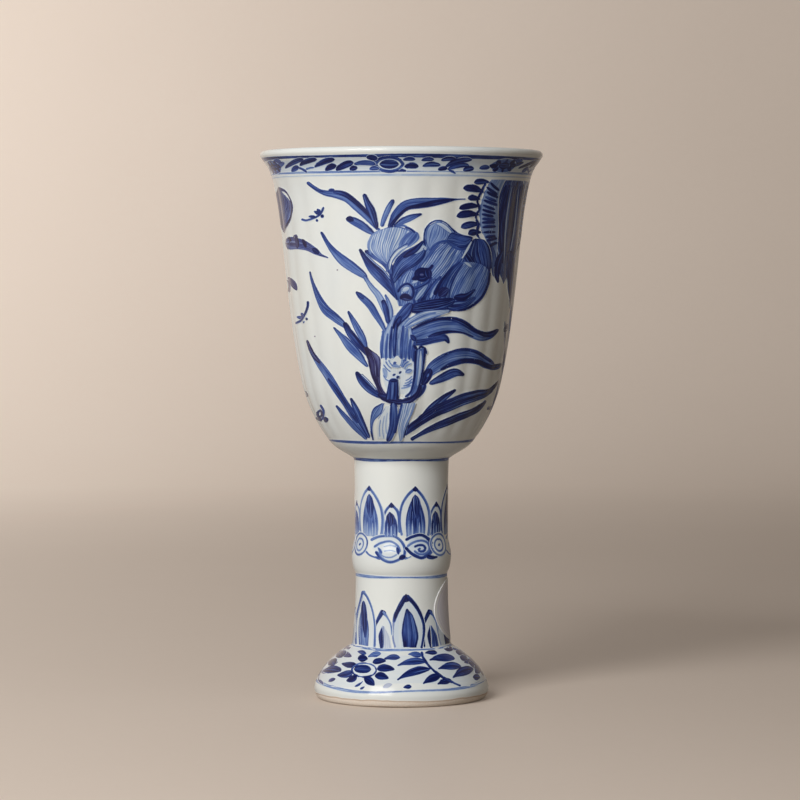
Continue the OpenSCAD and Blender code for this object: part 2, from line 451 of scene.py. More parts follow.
@dataclass(frozen=True)
class LabelPaper:
    """A plain coated paper label with a pale rim and two thin printed rings."""

    paper: Colour = (0.70, 0.69, 0.76)
    fibre: Colour = (0.76, 0.75, 0.80)
    ring: Colour = (0.84, 0.84, 0.84)
    roughness: float = 0.42
    fibre_scale: float = 1500.0
    rim_band: Point = (0.90, 0.915)
    outer_ring: tuple[Point, Point] = ((0.80, 0.815), (0.845, 0.83))
    inner_ring: tuple[Point, Point] = ((0.52, 0.53), (0.56, 0.55))

    def material(self) -> bpy.types.Material:
        """The label's finish, which reads each point's share of the label's radius."""
        finish = Finish("coated_label_paper")
        share = finish.attribute("share")
        fibre = finish.noise(finish.place(), self.fibre_scale, 3.0)
        rim = share.step(*self.rim_band)
        outer, inner = (
            share.step(*rise) * share.step(*fall) for rise, fall in (self.outer_ring, self.inner_ring)
        )
        printed = (rim + outer * 0.6 + inner * 0.5).clamped()
        paper = finish.blend(fibre * 0.35, self.paper, self.fibre)
        colour = finish.blend(printed, paper, self.ring)
        normal = finish.bump(fibre, 0.2, 0.00005)
        return finish.dress(Base_Color=colour, Roughness=fibre * 0.1 + self.roughness, Normal=normal)


@dataclass(frozen=True)
class Backdrop:
    """Warm grey-beige paper all round the cup, with a painted glow that is brighter on the left and behind.
    """

    colour: Colour = (0.66, 0.565, 0.485)
    shade: Colour = (0.62, 0.525, 0.445)
    bounce: Colour = (0.34, 0.30, 0.26)
    floor_glow: float = 0.46
    wall_glow: float = 0.38
    wall_glow_level: float = 0.305
    near: Point = (-0.3, 1.6)
    far: Point = (0.45, 1.6)
    back: Point = (-0.4, 0.3)
    spread: float = 0.62
    cloud_scale: float = 5.0
    grain_scale: float = 260.0

    def material(self) -> bpy.types.Material:
        """The backdrop's finish, which returns less light to the cup than it shows."""
        finish = Finish("backdrop_paper")
        place = finish.place()
        path = finish.node("ShaderNodeLightPath").outputs
        kinds = ("Is Camera Ray", "Is Glossy Ray", "Is Transmission Ray")
        rays = [Value(finish, path[kind]) for kind in kinds]
        seen = sum(rays[1:], rays[0]).clamped()
        cloud = finish.noise(place, self.cloud_scale, 4.0, 0.6)
        grain = finish.noise(place, self.grain_scale, 2.0)
        paper = finish.blend((cloud * 0.7 + grain * 0.3).clamped(), self.colour, self.shade)
        # Painted light: the rays that see the paper get an emission glow, strongest on the left and farther
        # back.
        x, y = finish.axis(place, "X"), finish.axis(place, "Y")
        left = x.step(self.spread, -self.spread)
        away = (x * x + y * y).math("SQRT")
        behind = y.step(*self.back) * 0.5 + 0.5
        wall = left * away.step(*self.near) * self.wall_glow + away.step(*self.far) * self.wall_glow_level
        strength = left * left * self.floor_glow + wall * behind
        glow = finish.blend(seen * strength, (0.0, 0.0, 0.0), paper)
        colour = finish.blend(seen, self.bounce, paper)
        return finish.dress(
            Base_Color=colour,
            Roughness=0.5,
            Specular_IOR_Level=0.1,
            Emission_Color=glow,
            Emission_Strength=1.0,
        )


# The shape of the cup


@dataclass(frozen=True)
class Key:
    """A point that a profile passes through, with its slope from level."""

    radius: float
    height: float
    slope: float

    def heading(self) -> Point:
        """The direction of the profile there."""
        turn = math.radians(self.slope)
        return math.cos(turn), math.sin(turn)


def curve_point(a: Key, b: Key, t: float) -> Point:
    """A point on the smooth curve between two keys.

    Args:
        a: the first key.
        b: the second key.
        t: the share of the way.
    Returns:
        Its radius and height.
    """
    reach = math.hypot(b.radius - a.radius, b.height - a.height)
    starts = (a.radius, a.height)
    ends = (b.radius, b.height)
    point = [
        p * (2 * t**3 - 3 * t**2 + 1)
        + m * reach * (t**3 - 2 * t**2 + t)
        + q * (3 * t**2 - 2 * t**3)
        + n * reach * (t**3 - t**2)
        for p, m, q, n in zip(starts, a.heading(), ends, b.heading())
    ]
    return point[0], point[1]


def curve_rows(keys: Sequence[Key], rows: int) -> list[Point]:
    """Points along the curves through several keys.

    Args:
        keys: the keys in order.
        rows: how many points each stretch has.
    Returns:
        Radius and height of each point, the last key's included.
    """
    found = [curve_point(a, b, i / rows) for a, b in zip(keys, keys[1:]) for i in range(rows)]
    return [*found, (keys[-1].radius, keys[-1].height)]


def arc_rows(centre: Point, radii: Point, start: float, end: float, rows: int) -> list[Point]:
    """Points along an elliptical arc, from one angle to another."""
    found = []
    for i in range(rows + 1):
        turn = math.radians(mix(start, end, i / rows))
        found.append((centre[0] + radii[0] * math.cos(turn), centre[1] + radii[1] * math.sin(turn)))
    return found


def bezier_rows(handles: Sequence[Point], rows: int) -> list[Point]:
    """Points along a curve with two handles."""
    found = []
    for i in range(rows + 1):
        t = i / rows
        shares = ((1 - t) ** 3, 3 * (1 - t) ** 2 * t, 3 * (1 - t) * t**2, t**3)
        found.append(tuple(sum(s * h[k] for s, h in zip(shares, handles)) for k in (0, 1)))
    return found


def turned(profile: Sequence[Point], columns: int, closed: bool) -> bmesh.types.BMesh:
    """Turns a profile round the cup's axis.

    Args:
        profile: radius and height of each point, in millimetres.
        columns: how many faces go round.
        closed: whether the last point joins the first.
    Returns:
        A closed mesh in metres, its seam and poles merged and its faces outward.
    """
    line = [*profile, profile[0]] if closed else list(profile)
    rows = len(line) - 1
    bm = bmesh.new()
    bmesh.ops.create_grid(bm, x_segments=columns, y_segments=rows, size=1.0)
    for vert in bm.verts:
        radius, height = line[round((vert.co.y + 1) / 2 * rows)]
        turn = vert.co.x * math.pi
        vert.co = Vector((radius * math.sin(turn), -radius * math.cos(turn), height)) * MM
    bmesh.ops.remove_doubles(bm, verts=bm.verts, dist=0.002 * MM)
    bmesh.ops.recalc_face_normals(bm, faces=bm.faces)
    return bm


def settle(
    bm: bmesh.types.BMesh,
    name: str,
    material: bpy.types.Material,
    stands_for: Sequence[str] = (),
    crease: float = 40.0,
) -> bpy.types.Object:
    """Makes a mesh a piece of the cup.

    Args:
        bm: the mesh, which is freed.
        name: the piece's name.
        material: its finish.
        stands_for: the solids that it replaces.
        crease: the angle from which an edge is sharp.
    Returns:
        The piece.
    """
    limit = math.radians(crease)
    for face in bm.faces:
        face.smooth = True
    for edge in bm.edges:
        edge.smooth = edge.calc_face_angle(0.0) < limit
    mesh = bpy.data.meshes.new(name)
    bm.to_mesh(mesh)
    bm.free()
    mesh.materials.append(material)
    piece = bpy.data.objects.new(name, mesh)
    bpy.context.scene.collection.objects.link(piece)
    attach(piece, BODY)
    if stands_for:
        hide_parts(*stands_for)
    LOG.info("%s: %d faces", name, len(mesh.polygons))
    return piece


@dataclass
class Bowl:
    """The lobed bell bowl, from its seat on the stem to its rounded lip."""

    base: float = 78.0
    height: float = 98.0
    seat: Key = Key(16.3, 0.0, 34.0)
    edge: Key = Key(22.9, 4.7, 52.0)
    belly: Key = Key(32.2, 24.3, 78.0)
    waist: Key = Key(37.7, 62.5, 84.0)
    neck: Key = Key(42.0, 91.0, 74.0)
    rim_radius: float = 45.4
    lip: float = 2.6
    lip_lean: float = 33.0
    wall: float = 3.4
    floor: float = 4.6
    lobes: int = 28
    lobe_depth: float = 0.25
    lobe_fade: float = 7.0
    lobe_columns: int = 12
    groove_round: float = 0.3
    floor_turn: float = 3.0
    floor_handles: Point = (0.9, 0.55)
    skin_depth: float = 0.8
    rows: int = 14

    def lip_centre(self) -> Point:
        """The centre of the rounded lip."""
        return self.rim_radius - self.lip / 2, self.height - self.lip / 2

    def lip_key(self) -> Key:
        """Where the flare runs into the rounded lip."""
        across, up = self.lip_centre()
        turn = math.radians(-self.lip_lean)
        reach = self.lip / 2
        return Key(across + reach * math.cos(turn), up + reach * math.sin(turn), 90 - self.lip_lean)

    def outside(self) -> list[Point]:
        """The outer wall from the seat to the lip."""
        keys = [self.seat, self.edge, self.belly, self.waist, self.neck, self.lip_key()]
        return curve_rows(keys, self.rows)

    def over_lip(self) -> list[Point]:
        """The rounded lip from outside to inside."""
        radii = (self.lip / 2, self.lip / 2)
        return arc_rows(self.lip_centre(), radii, -self.lip_lean, 180 - self.lip_lean, self.rows)

    def wall_at(self, height: float) -> float:
        """The wall's thickness at a height above the seat."""
        top = self.lip_key().height
        share = (height - self.edge.height) / (top - self.edge.height)
        return mix(self.wall, self.lip, max(0.0, min(1.0, share)))

    def inside(self) -> list[Point]:
        """The inner wall from the lip down, and the floor to the centre."""
        rows = [p for p in self.outside() if p[1] > self.edge.height + self.floor_turn][::-1]
        inner = []
        for before, here, after in zip(rows, rows[1:], rows[2:]):
            run = (before[0] - after[0], before[1] - after[1])
            length = math.hypot(*run)
            thick = self.wall_at(here[1])
            inner.append((here[0] - thick * run[1] / length, here[1] + thick * run[0] / length))
        last, start = inner[-2:]
        run = (start[0] - last[0], start[1] - last[1])
        length = math.hypot(*run)
        steep, flat = self.floor_handles
        drop = (start[1] - self.floor) * steep
        down = (start[0] + run[0] / length * drop, start[1] + run[1] / length * drop)
        bed = bezier_rows([start, down, (start[0] * flat, self.floor), (0.0, self.floor)], self.rows)
        return [*inner[1:], *bed[1:]]

    def groove(self, angle: float, height: float) -> float:
        """How far the wall lies inside the lobes' crowns.

        Args:
            angle: degrees from the front.
            height: millimetres above the seat.
        Returns:
            The groove's depth in millimetres.
        """
        rise = soft_step((height - self.edge.height) / self.lobe_fade)
        share = rise * soft_step((self.neck.height - height) / self.lobe_fade)
        if share <= 0:
            return 0.0
        across = math.sin(math.radians(self.lobes * angle / 2))
        crown = math.hypot(1.0, self.groove_round) - self.groove_round
        swell = math.hypot(across, self.groove_round) - self.groove_round
        return self.lobe_depth * share * (1 - swell / crown)

    def build(self, glaze: bpy.types.Material) -> bpy.types.Object:
        """Turns the bowl and presses its lobes into the outer wall.

        Args:
            glaze: its finish.
        Returns:
            The piece.
        """
        outer = self.outside()
        profile = [(0.0, 0.0), *outer, *self.over_lip()[1:], *self.inside()]
        bm = turned([(r, z + self.base) for r, z in profile], self.lobes * self.lobe_columns, False)
        heights = [z for _, z in outer]
        for vert in bm.verts:
            height = vert.co.z / MM - self.base
            radius = math.hypot(vert.co.x, vert.co.y) / MM
            spot = min(bisect.bisect_left(heights, height - 0.001), len(outer) - 1)
            if abs(outer[spot][0] - radius) < self.skin_depth:
                angle = math.degrees(math.atan2(vert.co.x, -vert.co.y))
                share = (radius - self.groove(angle, height)) / radius
                vert.co.x *= share
                vert.co.y *= share
        return settle(bm, "bowl_glazed", glaze, ["bowl"])


@dataclass
class Stem:
    """The hollow stem: two sections with the swollen knop between them, and the fillet under the bowl."""

    bore: float = 10.6
    base: float = 17.5
    lower_height: float = 22.5
    lower_radius: float = 14.8
    base_radius: float = 15.9
    spread: float = 2.4
    slip: float = 0.5
    knop_height: float = 12.0
    knop_radius: float = 16.0
    crown_height: float = 5.4
    knop_slopes: Point = (58.0, 94.0)
    knop_rows: int = 12
    upper_height: float = 24.0
    upper_radius: float = 15.0
    top_radius: float = 15.3
    swell: float = 3.0
    fillet_height: float = 1.0
    fillet_rows: int = 8
    seat_radius: float = 16.3
    columns: int = 192
    rows: int = 24

    def knop_base(self) -> float:
        """The height where the knop's joint starts."""
        return self.base + self.lower_height

    def upper_base(self) -> float:
        """The height where the upper section starts."""
        return self.knop_base() + self.knop_height + 2 * self.slip

    def top(self) -> float:
        """The height where the fillet starts."""
        return self.upper_base() + self.upper_height

    def lower_side(self) -> list[Point]:
        """The side of the lower section."""
        found = []
        for i in range(self.rows + 1):
            share = i / self.rows
            radius = mix(self.lower_radius, self.base_radius, (1 - share) ** self.spread)
            found.append((radius, self.base + self.lower_height * share))
        return found

    def knop_side(self) -> list[Point]:
        """The side of the knop, its two joints included."""
        low = self.knop_base()
        first = low + self.slip
        last = first + self.knop_height
        low_slope, high_slope = self.knop_slopes
        keys = [
            Key(self.lower_radius, first, low_slope),
            Key(self.knop_radius, first + self.crown_height, 90.0),
            Key(self.upper_radius, last, high_slope),
        ]
        side = curve_rows(keys, self.knop_rows)
        return [(self.lower_radius, low), *side, (self.upper_radius, last + self.slip)]

    def upper_side(self) -> list[Point]:
        """The side of the upper section."""
        found = []
        for i in range(self.rows + 1):
            share = i / self.rows
            radius = mix(self.upper_radius, self.top_radius, share**self.swell)
            found.append((radius, self.upper_base() + self.upper_height * share))
        return found

    def fillet_side(self) -> list[Point]:
        """The hollow fillet between the stem and the bowl."""
        radii = (self.top_radius - self.seat_radius, self.fillet_height)
        return arc_rows((self.seat_radius, self.top()), radii, 0, 90, self.fillet_rows)

    def build(self, glaze: bpy.types.Material) -> list[bpy.types.Object]:
        """Turns the stem's four pieces.

        Args:
            glaze: their finish.
        Returns:
            The pieces.
        """
        sides = {
            "stem_lower_section": (self.lower_side(), ["lower_stem"]),
            "stem_knop": (self.knop_side(), ["knop", "knop_base_slip", "knop_top_slip"]),
            "stem_upper_section": (self.upper_side(), ["upper_stem"]),
            "stem_bowl_fillet": (self.fillet_side(), ["bowl_slip"]),
        }
        made = []
        for name, (side, nodes) in sides.items():
            profile = [(self.bore, side[0][1]), *side, (self.bore, side[-1][1])]
            bm = turned(profile, self.columns, True)
            made.append(settle(bm, name, glaze, nodes))
        return made


@dataclass
class Foot:
    """The domed spreading foot with its bare standing ring and the vault under it."""

    height: float = 17.0
    top_radius: float = 16.3
    radius: float = 28.2
    edge_height: float = 3.7
    ring_radius: float = 26.2
    ring_width: float = 3.6
    vault_height: float = 11.5
    bore: float = 10.6
    joint: float = 0.5
    joint_radius: float = 15.9
    top_handle: Point = (0.4, 0.21)
    edge_handle: Point = (0.13, 0.44)
    dome_rows: int = 26
    edge_rows: int = 14
    vault_rows: int = 18
    columns: int = 224

    def dome(self) -> list[Point]:
        """The dome from its joint with the stem down to its widest line."""
        across = self.radius - self.top_radius
        down = self.edge_height - self.height
        handles = [
            (self.top_radius, self.height),
            (self.top_radius + across * self.top_handle[0], self.height + down * self.top_handle[1]),
            (self.radius - across * self.edge_handle[0], self.edge_height - down * self.edge_handle[1]),
            (self.radius, self.edge_height),
        ]
        return [(self.joint_radius, self.height + self.joint), *bezier_rows(handles, self.dome_rows)]

    def rolled_edge(self) -> list[Point]:
        """The rolled edge from the widest line down to the standing ring."""
        radii = (self.radius - self.ring_radius, self.edge_height)
        return arc_rows((self.ring_radius, self.edge_height), radii, 0, -90, self.edge_rows)

    def build(self, finish: bpy.types.Material) -> bpy.types.Object:
        """Turns the foot.

        Args:
            finish: glaze with a bare ring.
        Returns:
            The piece.
        """
        hollow = self.ring_radius - self.ring_width
        radii = (hollow - self.bore, self.vault_height)
        vault = arc_rows((self.bore, 0.0), radii, 0, 90, self.vault_rows)
        profile = [*self.dome(), *self.rolled_edge()[1:], *vault, (self.bore, self.height + self.joint)]
        bm = turned(profile, self.columns, True)
        return settle(bm, "foot_glazed", finish, ["foot", "foot_slip"])


class Skin:
    """The cup's whole outer surface, on which the painting lies."""

    lip_rows = 6
    slope_reach = 0.15

    def __init__(self, bowl: Bowl, stem: Stem, foot: Foot) -> None:
        """Joins the sides of the pieces into one list of heights and radii."""
        self.bowl = bowl
        rows = [*foot.rolled_edge()[::-1], *foot.dome()[::-1]]
        rows += [*stem.lower_side(), *stem.knop_side(), *stem.upper_side(), *stem.fillet_side()]
        wall = [*bowl.outside(), *bowl.over_lip()[1 : self.lip_rows + 1]]
        rows += [(r, z + bowl.base) for r, z in wall]
        self.heights: list[float] = []
        self.radii: list[float] = []
        for radius, height in rows:
            if not self.heights or height > self.heights[-1] + 1e-6:
                self.heights.append(height)
                self.radii.append(radius)

    def radius(self, height: float) -> float:
        """The outer radius at a height."""
        spot = min(max(bisect.bisect_left(self.heights, height), 1), len(self.heights) - 1)
        low, high = self.heights[spot - 1], self.heights[spot]
        share = max(0.0, min(1.0, (height - low) / (high - low)))
        return mix(self.radii[spot - 1], self.radii[spot], share)

    def point(self, angle: float, height: float, lift: float) -> Vector:
        """A point on the surface.

        Args:
            angle: degrees from the front, towards the right.
            height: millimetres above the table.
            lift: millimetres out of the surface.
        Returns:
            The point in metres.
        """
        step = self.slope_reach
        slope = (self.radius(height + step) - self.radius(height - step)) / (2 * step)
        length = math.hypot(1.0, slope)
        radius = self.radius(height) - self.bowl.groove(angle, height - self.bowl.base) + lift / length
        turn = math.radians(angle)
        up = height - slope * lift / length
        return Vector((radius * math.sin(turn), -radius * math.cos(turn), up)) * MM


@dataclass(frozen=True)
class PhotoView:
    """The camera of the photograph, in pixels of its 800 by 800 frame and millimetres."""

    frame: float = 800.0
    focal: float = 3200.0
    distance: float = 1030.7
    height: float = 135.6
    pitch: float = 2.197
    axis_x: float = 401.4
    widest: float = 46.0
    sensor: float = 36.0
    tries: int = 9

    def sideways(self) -> float:
        """How far the camera stands to the left of the cup's axis."""
        return -(self.axis_x - self.frame / 2) / self.focal * self.distance

    def pixel_size(self) -> float:
        """The size of a pixel at the cup's axis, in millimetres."""
        return self.distance / self.focal

    def camera(self) -> bpy.types.Object:
        """Makes the scene's camera."""
        data = bpy.data.cameras.new("photo_camera")
        data.sensor_width = self.sensor
        data.lens = self.sensor * self.focal / self.frame
        camera = bpy.data.objects.new("photo_camera", data)
        camera.location = Vector((self.sideways(), -self.distance, self.height)) * MM
        camera.rotation_euler = (math.radians(90 - self.pitch), 0.0, 0.0)
        bpy.context.scene.collection.objects.link(camera)
        bpy.context.scene.camera = camera
        return camera

    def spot(self, skin: Skin, x: float, y: float) -> Point:
        """Where a pixel falls on the cup.

        Args:
            skin: the cup's surface.
            x: the pixel's column.
            y: the pixel's row.
        Returns:
            The angle from the front and the height.
        """
        right = (x - self.frame / 2) / self.focal
        down = (y - self.frame / 2) / self.focal
        tilt = math.radians(self.pitch)
        ahead = math.cos(tilt) - down * math.sin(tilt)
        fall = -math.sin(tilt) - down * math.cos(tilt)
        side = self.sideways()
        run = right * right + ahead * ahead

        def clear(reach: float) -> float:
            """How far the ray is from the cup after a reach."""
            across = math.hypot(side + reach * right, self.distance - reach * ahead)
            return across - skin.radius(self.height + reach * fall)

        far = (self.distance * ahead - side * right) / run
        near = far - self.widest / math.sqrt(run)
        outside, within = clear(near), clear(far)
        if within < 0 < outside:
            for i in range(self.tries):
                share = 0.5 if i % 3 == 1 else outside / (outside - within)
                reach = mix(near, far, share)
                left = clear(reach)
                if left > 0:
                    near, outside = reach, left
                else:
                    far, within = reach, left
        angle = math.degrees(math.atan2(side + far * right, self.distance - far * ahead))
        return angle, self.height + far * fall


# The painting


class Load(Enum):
    """How much cobalt the brush carries."""

    TINT = 0.07
    FAINT = 0.13
    PALE = 0.27
    WASH = 0.44
    MID = 0.62
    DEEP = 0.80
    INK = 1.0


TINT, FAINT, PALE, WASH, MID, DEEP, INK = Load


@dataclass(frozen=True)
class Brush:
    """How a stroke is worked: what it adds to its load or leaves bare, and where.

    Attributes:
        outline: how much darker its edge is.
        hatch: how plainly bare lines run along it.
        iron: how far the blue turns to brown.
        first: how much darker it is where the brush comes down, as a share of its load.
        last: how much darker it is where the brush lifts.
        lean: how much darker one side is than the other.
    """

    outline: float = 0.0
    hatch: float = 0.0
    iron: float = 0.0
    first: float = 0.0
    last: float = 0.0
    lean: float = 0.0
    end_share: ClassVar[float] = 0.35

    def weight(self, u: float, v: float) -> float:
        """The share of the load that is left at a place along and across the stroke."""
        start = soft_step(1 - u / self.end_share)
        end = soft_step((u - (1 - self.end_share)) / self.end_share)
        return 1 + (self.first * start + self.last * end) - self.lean * v


PLAIN = Brush(outline=0.1)
FLAT = Brush()
LEAF = Brush(outline=0.26, first=0.36, last=0.06, lean=0.2)
BLADE = Brush(outline=0.26, first=0.1, last=0.4, lean=0.14)
HEART = Brush(outline=0.16, hatch=0.5, first=-0.4, last=0.3)
VIOLET = Brush(outline=0.1, iron=0.42)
IRON = Brush(iron=1.0)


def through(points: Sequence[Sequence[float]], u: float) -> list[float]:
    """A place on the smooth line through several points.

    Args:
        points: the points, with any further numbers after their two coordinates.
        u: the share of the way along.
    Returns:
        The numbers there.
    """
    spans = len(points) - 1
    at = max(0.0, min(u * spans, spans - 1e-6))
    i = int(at)
    t = at - i
    start, end = points[i], points[i + 1]
    before = points[i - 1] if i else [2 * s - e for s, e in zip(start, end)]
    after = points[i + 2] if i + 2 <= spans else [2 * e - s for s, e in zip(start, end)]
    return [
        0.5 * (2 * s + (e - b) * t + (2 * b - 5 * s + 4 * e - a) * t**2 + (3 * s - b - 3 * e + a) * t**3)
        for b, s, e, a in zip(before, start, end, after)
    ]


@dataclass(frozen=True)
class Stroke:
    """One touch of the brush, seen as the photograph shows it."""

    name: str
    load: Load
    brush: Brush
    cell_step: ClassVar[float] = 0.5

    def at(self, u: float, v: float) -> Point:
        """The pixel at a share u along the stroke and v, from -1 to 1, across it."""
        raise NotImplementedError

    @cached_property
    def extent(self) -> Point:
        """The stroke's length and greatest width, in pixels."""
        raise NotImplementedError

    @property
    def tip_shows(self) -> bool:
        """Whether the stroke ends in an edge rather than a point."""
        return False

    def cells(self) -> dict[tuple[int, int], float]:
        """The pixels that the stroke covers, with its tone in each."""
        length, width = self.extent
        rows = max(4, round(length / self.cell_step))
        columns = max(2, round(width / self.cell_step))
        found = {}
        for i in range(rows + 1):
            for j in range(columns + 1):
                u, v = i / rows, 2 * j / columns - 1
                x, y = self.at(u, v)
                found[round(x), round(y)] = self.load.value * self.brush.weight(u, v)
        return found

    def where(self, skin: Skin, view: PhotoView, u: float, v: float) -> Point:
        """The angle and height at that share of the stroke."""
        return view.spot(skin, *self.at(u, v))


@dataclass(frozen=True)
class Ribbon(Stroke):
    """A stroke along a line, each of whose points has its own width."""

    line: tuple[tuple[float, float, float], ...]
    nudge: ClassVar[float] = 0.01
    thinnest: ClassVar[float] = 0.5
    bleed: ClassVar[float] = 0.3
    blunt: ClassVar[float] = 0.02

    @cached_property
    def extent(self) -> Point:
        """The length and greatest width, in pixels."""
        length = sum(math.dist(a[:2], b[:2]) for a, b in zip(self.line, self.line[1:]))
        return length, max(p[2] for p in self.line)

    def at(self, u: float, v: float) -> Point:
        """The pixel at that share of the stroke, whose ends are rounded."""
        x, y, width = through(self.line, u)
        ahead = through(self.line, min(1.0, u + self.nudge))
        behind = through(self.line, max(0.0, u - self.nudge))
        run = (ahead[0] - behind[0], ahead[1] - behind[1])
        length = math.hypot(*run) or 1.0
        half = max(width, self.thinnest) / 2 + self.bleed
        share = min(1.0, min(u, 1 - u) * self.extent[0] / max(half, self.thinnest))
        half *= math.sqrt(max(self.blunt, 1 - (1 - share) ** 2))
        return x - run[1] / length * half * v, y + run[0] / length * half * v


@dataclass(frozen=True)
class Petal(Stroke):
    """A stroke that fills the space between two edges, each drawn from the base to the tip."""

    left: tuple[Point, ...]
    right: tuple[Point, ...]
    crown: Point = (0.0, 0.0)

    @property
    def tip_shows(self) -> bool:
        """A petal's tip is an edge of its own where it is crowned."""
        return self.crown != (0.0, 0.0)

    @cached_property
    def extent(self) -> Point:
        """The length and greatest width, in pixels."""
        length = sum(math.dist(a, b) for a, b in zip(self.left, self.left[1:]))
        width = max(math.dist(through(self.left, i / 6), through(self.right, i / 6)) for i in range(7))
        return length, width

    def at(self, u: float, v: float) -> Point:
        """The pixel at that share of the stroke."""
        a = through(self.left, u)
        b = through(self.right, u)
        share = (v + 1) / 2
        swell = (1 - v * v) * u * u
        across = mix(a[0], b[0], share) + self.crown[0] * swell
        return across, mix(a[1], b[1], share) + self.crown[1] * swell


@dataclass(frozen=True)
class Loop(Stroke):
    """A stroke along an oval, or part of one."""

    centre: Point
    radii: Point
    width: float
    start: float = 0.0
    sweep: float = 360.0

    @cached_property
    def extent(self) -> Point:
        """The length and greatest width, in pixels."""
        return math.radians(abs(self.sweep)) * max(self.radii), self.width

    def at(self, u: float, v: float) -> Point:
        """The pixel at that share of the stroke."""
        turn = math.radians(self.start + self.sweep * u)
        half = self.width / 2 * v
        across = (self.radii[0] + half) * math.cos(turn)
        return self.centre[0] + across, self.centre[1] + (self.radii[1] + half) * math.sin(turn)


@dataclass(frozen=True)
class Hoop(Stroke):
    """A line drawn right round the cup as it turns on the wheel."""

    height: float
    width: float
    sway: float = 0.12
    pixels_round: ClassVar[float] = 700.0
    pixels_per_mm: ClassVar[float] = 3.0
    swelling: ClassVar[float] = 0.22

    @cached_property
    def extent(self) -> Point:
        """The length and width, in pixels."""
        return self.pixels_round, self.width * self.pixels_per_mm

    def cells(self) -> dict[tuple[int, int], float]:
        """A hoop lies under everything, so it covers no pixel of its own."""
        return {}

    def where(self, skin: Skin, view: PhotoView, u: float, v: float) -> Point:
        """The angle and height at that share of the hoop."""
        angle = 360 * u
        turn = math.radians(angle)
        sway = self.sway * (math.sin(2 * turn + self.height) + 0.6 * math.sin(5 * turn + self.width))
        breath = 1 + self.swelling * math.sin(3 * turn + self.height * 2)
        return angle, self.height + sway + v * self.width / 2 * breath


def ribbon(name: str, load: Load, brush: Brush, *line: Sequence[float]) -> Ribbon:
    """A stroke along points that each give their width."""
    return Ribbon(name, load, brush, tuple(tuple(p) for p in line))


def trail(name: str, load: Load, width: float, *line: Point, brush: Brush = FLAT) -> Ribbon:
    """A stroke of one width along several points."""
    return Ribbon(name, load, brush, tuple((x, y, width) for x, y in line))


def dab(
    name: str,
    load: Load,
    start: Point,
    end: Point,
    width: float,
    brush: Brush = PLAIN,
    bend: float = 0.06,
    full: float = 0.5,
    taper: float = 0.65,
) -> Ribbon:
    """A short touch, full in the middle and drawn out to a point at its ends.

    Args:
        name: what it paints.
        load: how much cobalt.
        start: the pixel where the brush comes down.
        end: the pixel where it lifts.
        width: its greatest width in pixels.
        brush: how it is worked.
        bend: how far its middle stands off the straight, as a share of its length.
        full: the share of the way along at which it is widest.
        taper: how far its ends are drawn out; the less, the blunter.
    Returns:
        The stroke.
    """
    skew = math.log(0.5) / math.log(full)
    run = (end[0] - start[0], end[1] - start[1])
    line = []
    for i in range(9):
        t = i / 8
        off = bend * 4 * t * (1 - t)
        wide = width * max(0.2, max(0.0, math.sin(math.pi * t**skew)) ** taper)
        line.append((start[0] + run[0] * t + run[1] * off, start[1] + run[1] * t - run[0] * off, wide))
    return Ribbon(name, load, brush, tuple(line))


def dot(name: str, load: Load, centre: Point, radius: float, brush: Brush = PLAIN) -> Ribbon:
    """A round spot."""
    x, y = centre
    line = tuple((x + radius * k, y, 2 * radius) for k in (-1.0, -0.4, 0.4, 1.0))
    return Ribbon(name, load, brush, line)


def petal(
    name: str,
    load: Load,
    brush: Brush,
    left: Sequence[Point],
    right: Sequence[Point],
    crown: Point = (0.0, 0.0),
) -> Petal:
    """A petal between two edges, each drawn from its base to its tip.

    Args:
        name: which petal.
        load: how much cobalt.
        brush: how it is worked.
        left: pixels of one edge.
        right: pixels of the other edge.
        crown: how far the middle of the tip stands beyond the ends of the edges.
    Returns:
        The stroke.
    """
    return Petal(name, load, brush, tuple(left), tuple(right), crown)


@dataclass(frozen=True)
class Turn:
    """Where a motif is repeated round the cup."""

    angle: float = 0.0
    mirror_at: float | None = None
    strength: float = 1.0

    def apply(self, angle: float) -> float:
        """The angle on the cup of an angle in the motif as drawn."""
        if self.mirror_at is not None:
            angle = 2 * self.mirror_at - angle
        return angle + self.angle


@dataclass(frozen=True)
class Patch:
    """One stroke's net of points, in rows along it.

    Attributes:
        stroke: the stroke.
        spots: the angle and height of each point.
        under: the wash that already lies under each point.
        lift: how far its face stands out of the glaze, in millimetres.
    """

    stroke: Stroke
    spots: list[list[Point]]
    under: list[list[float]]
    lift: float


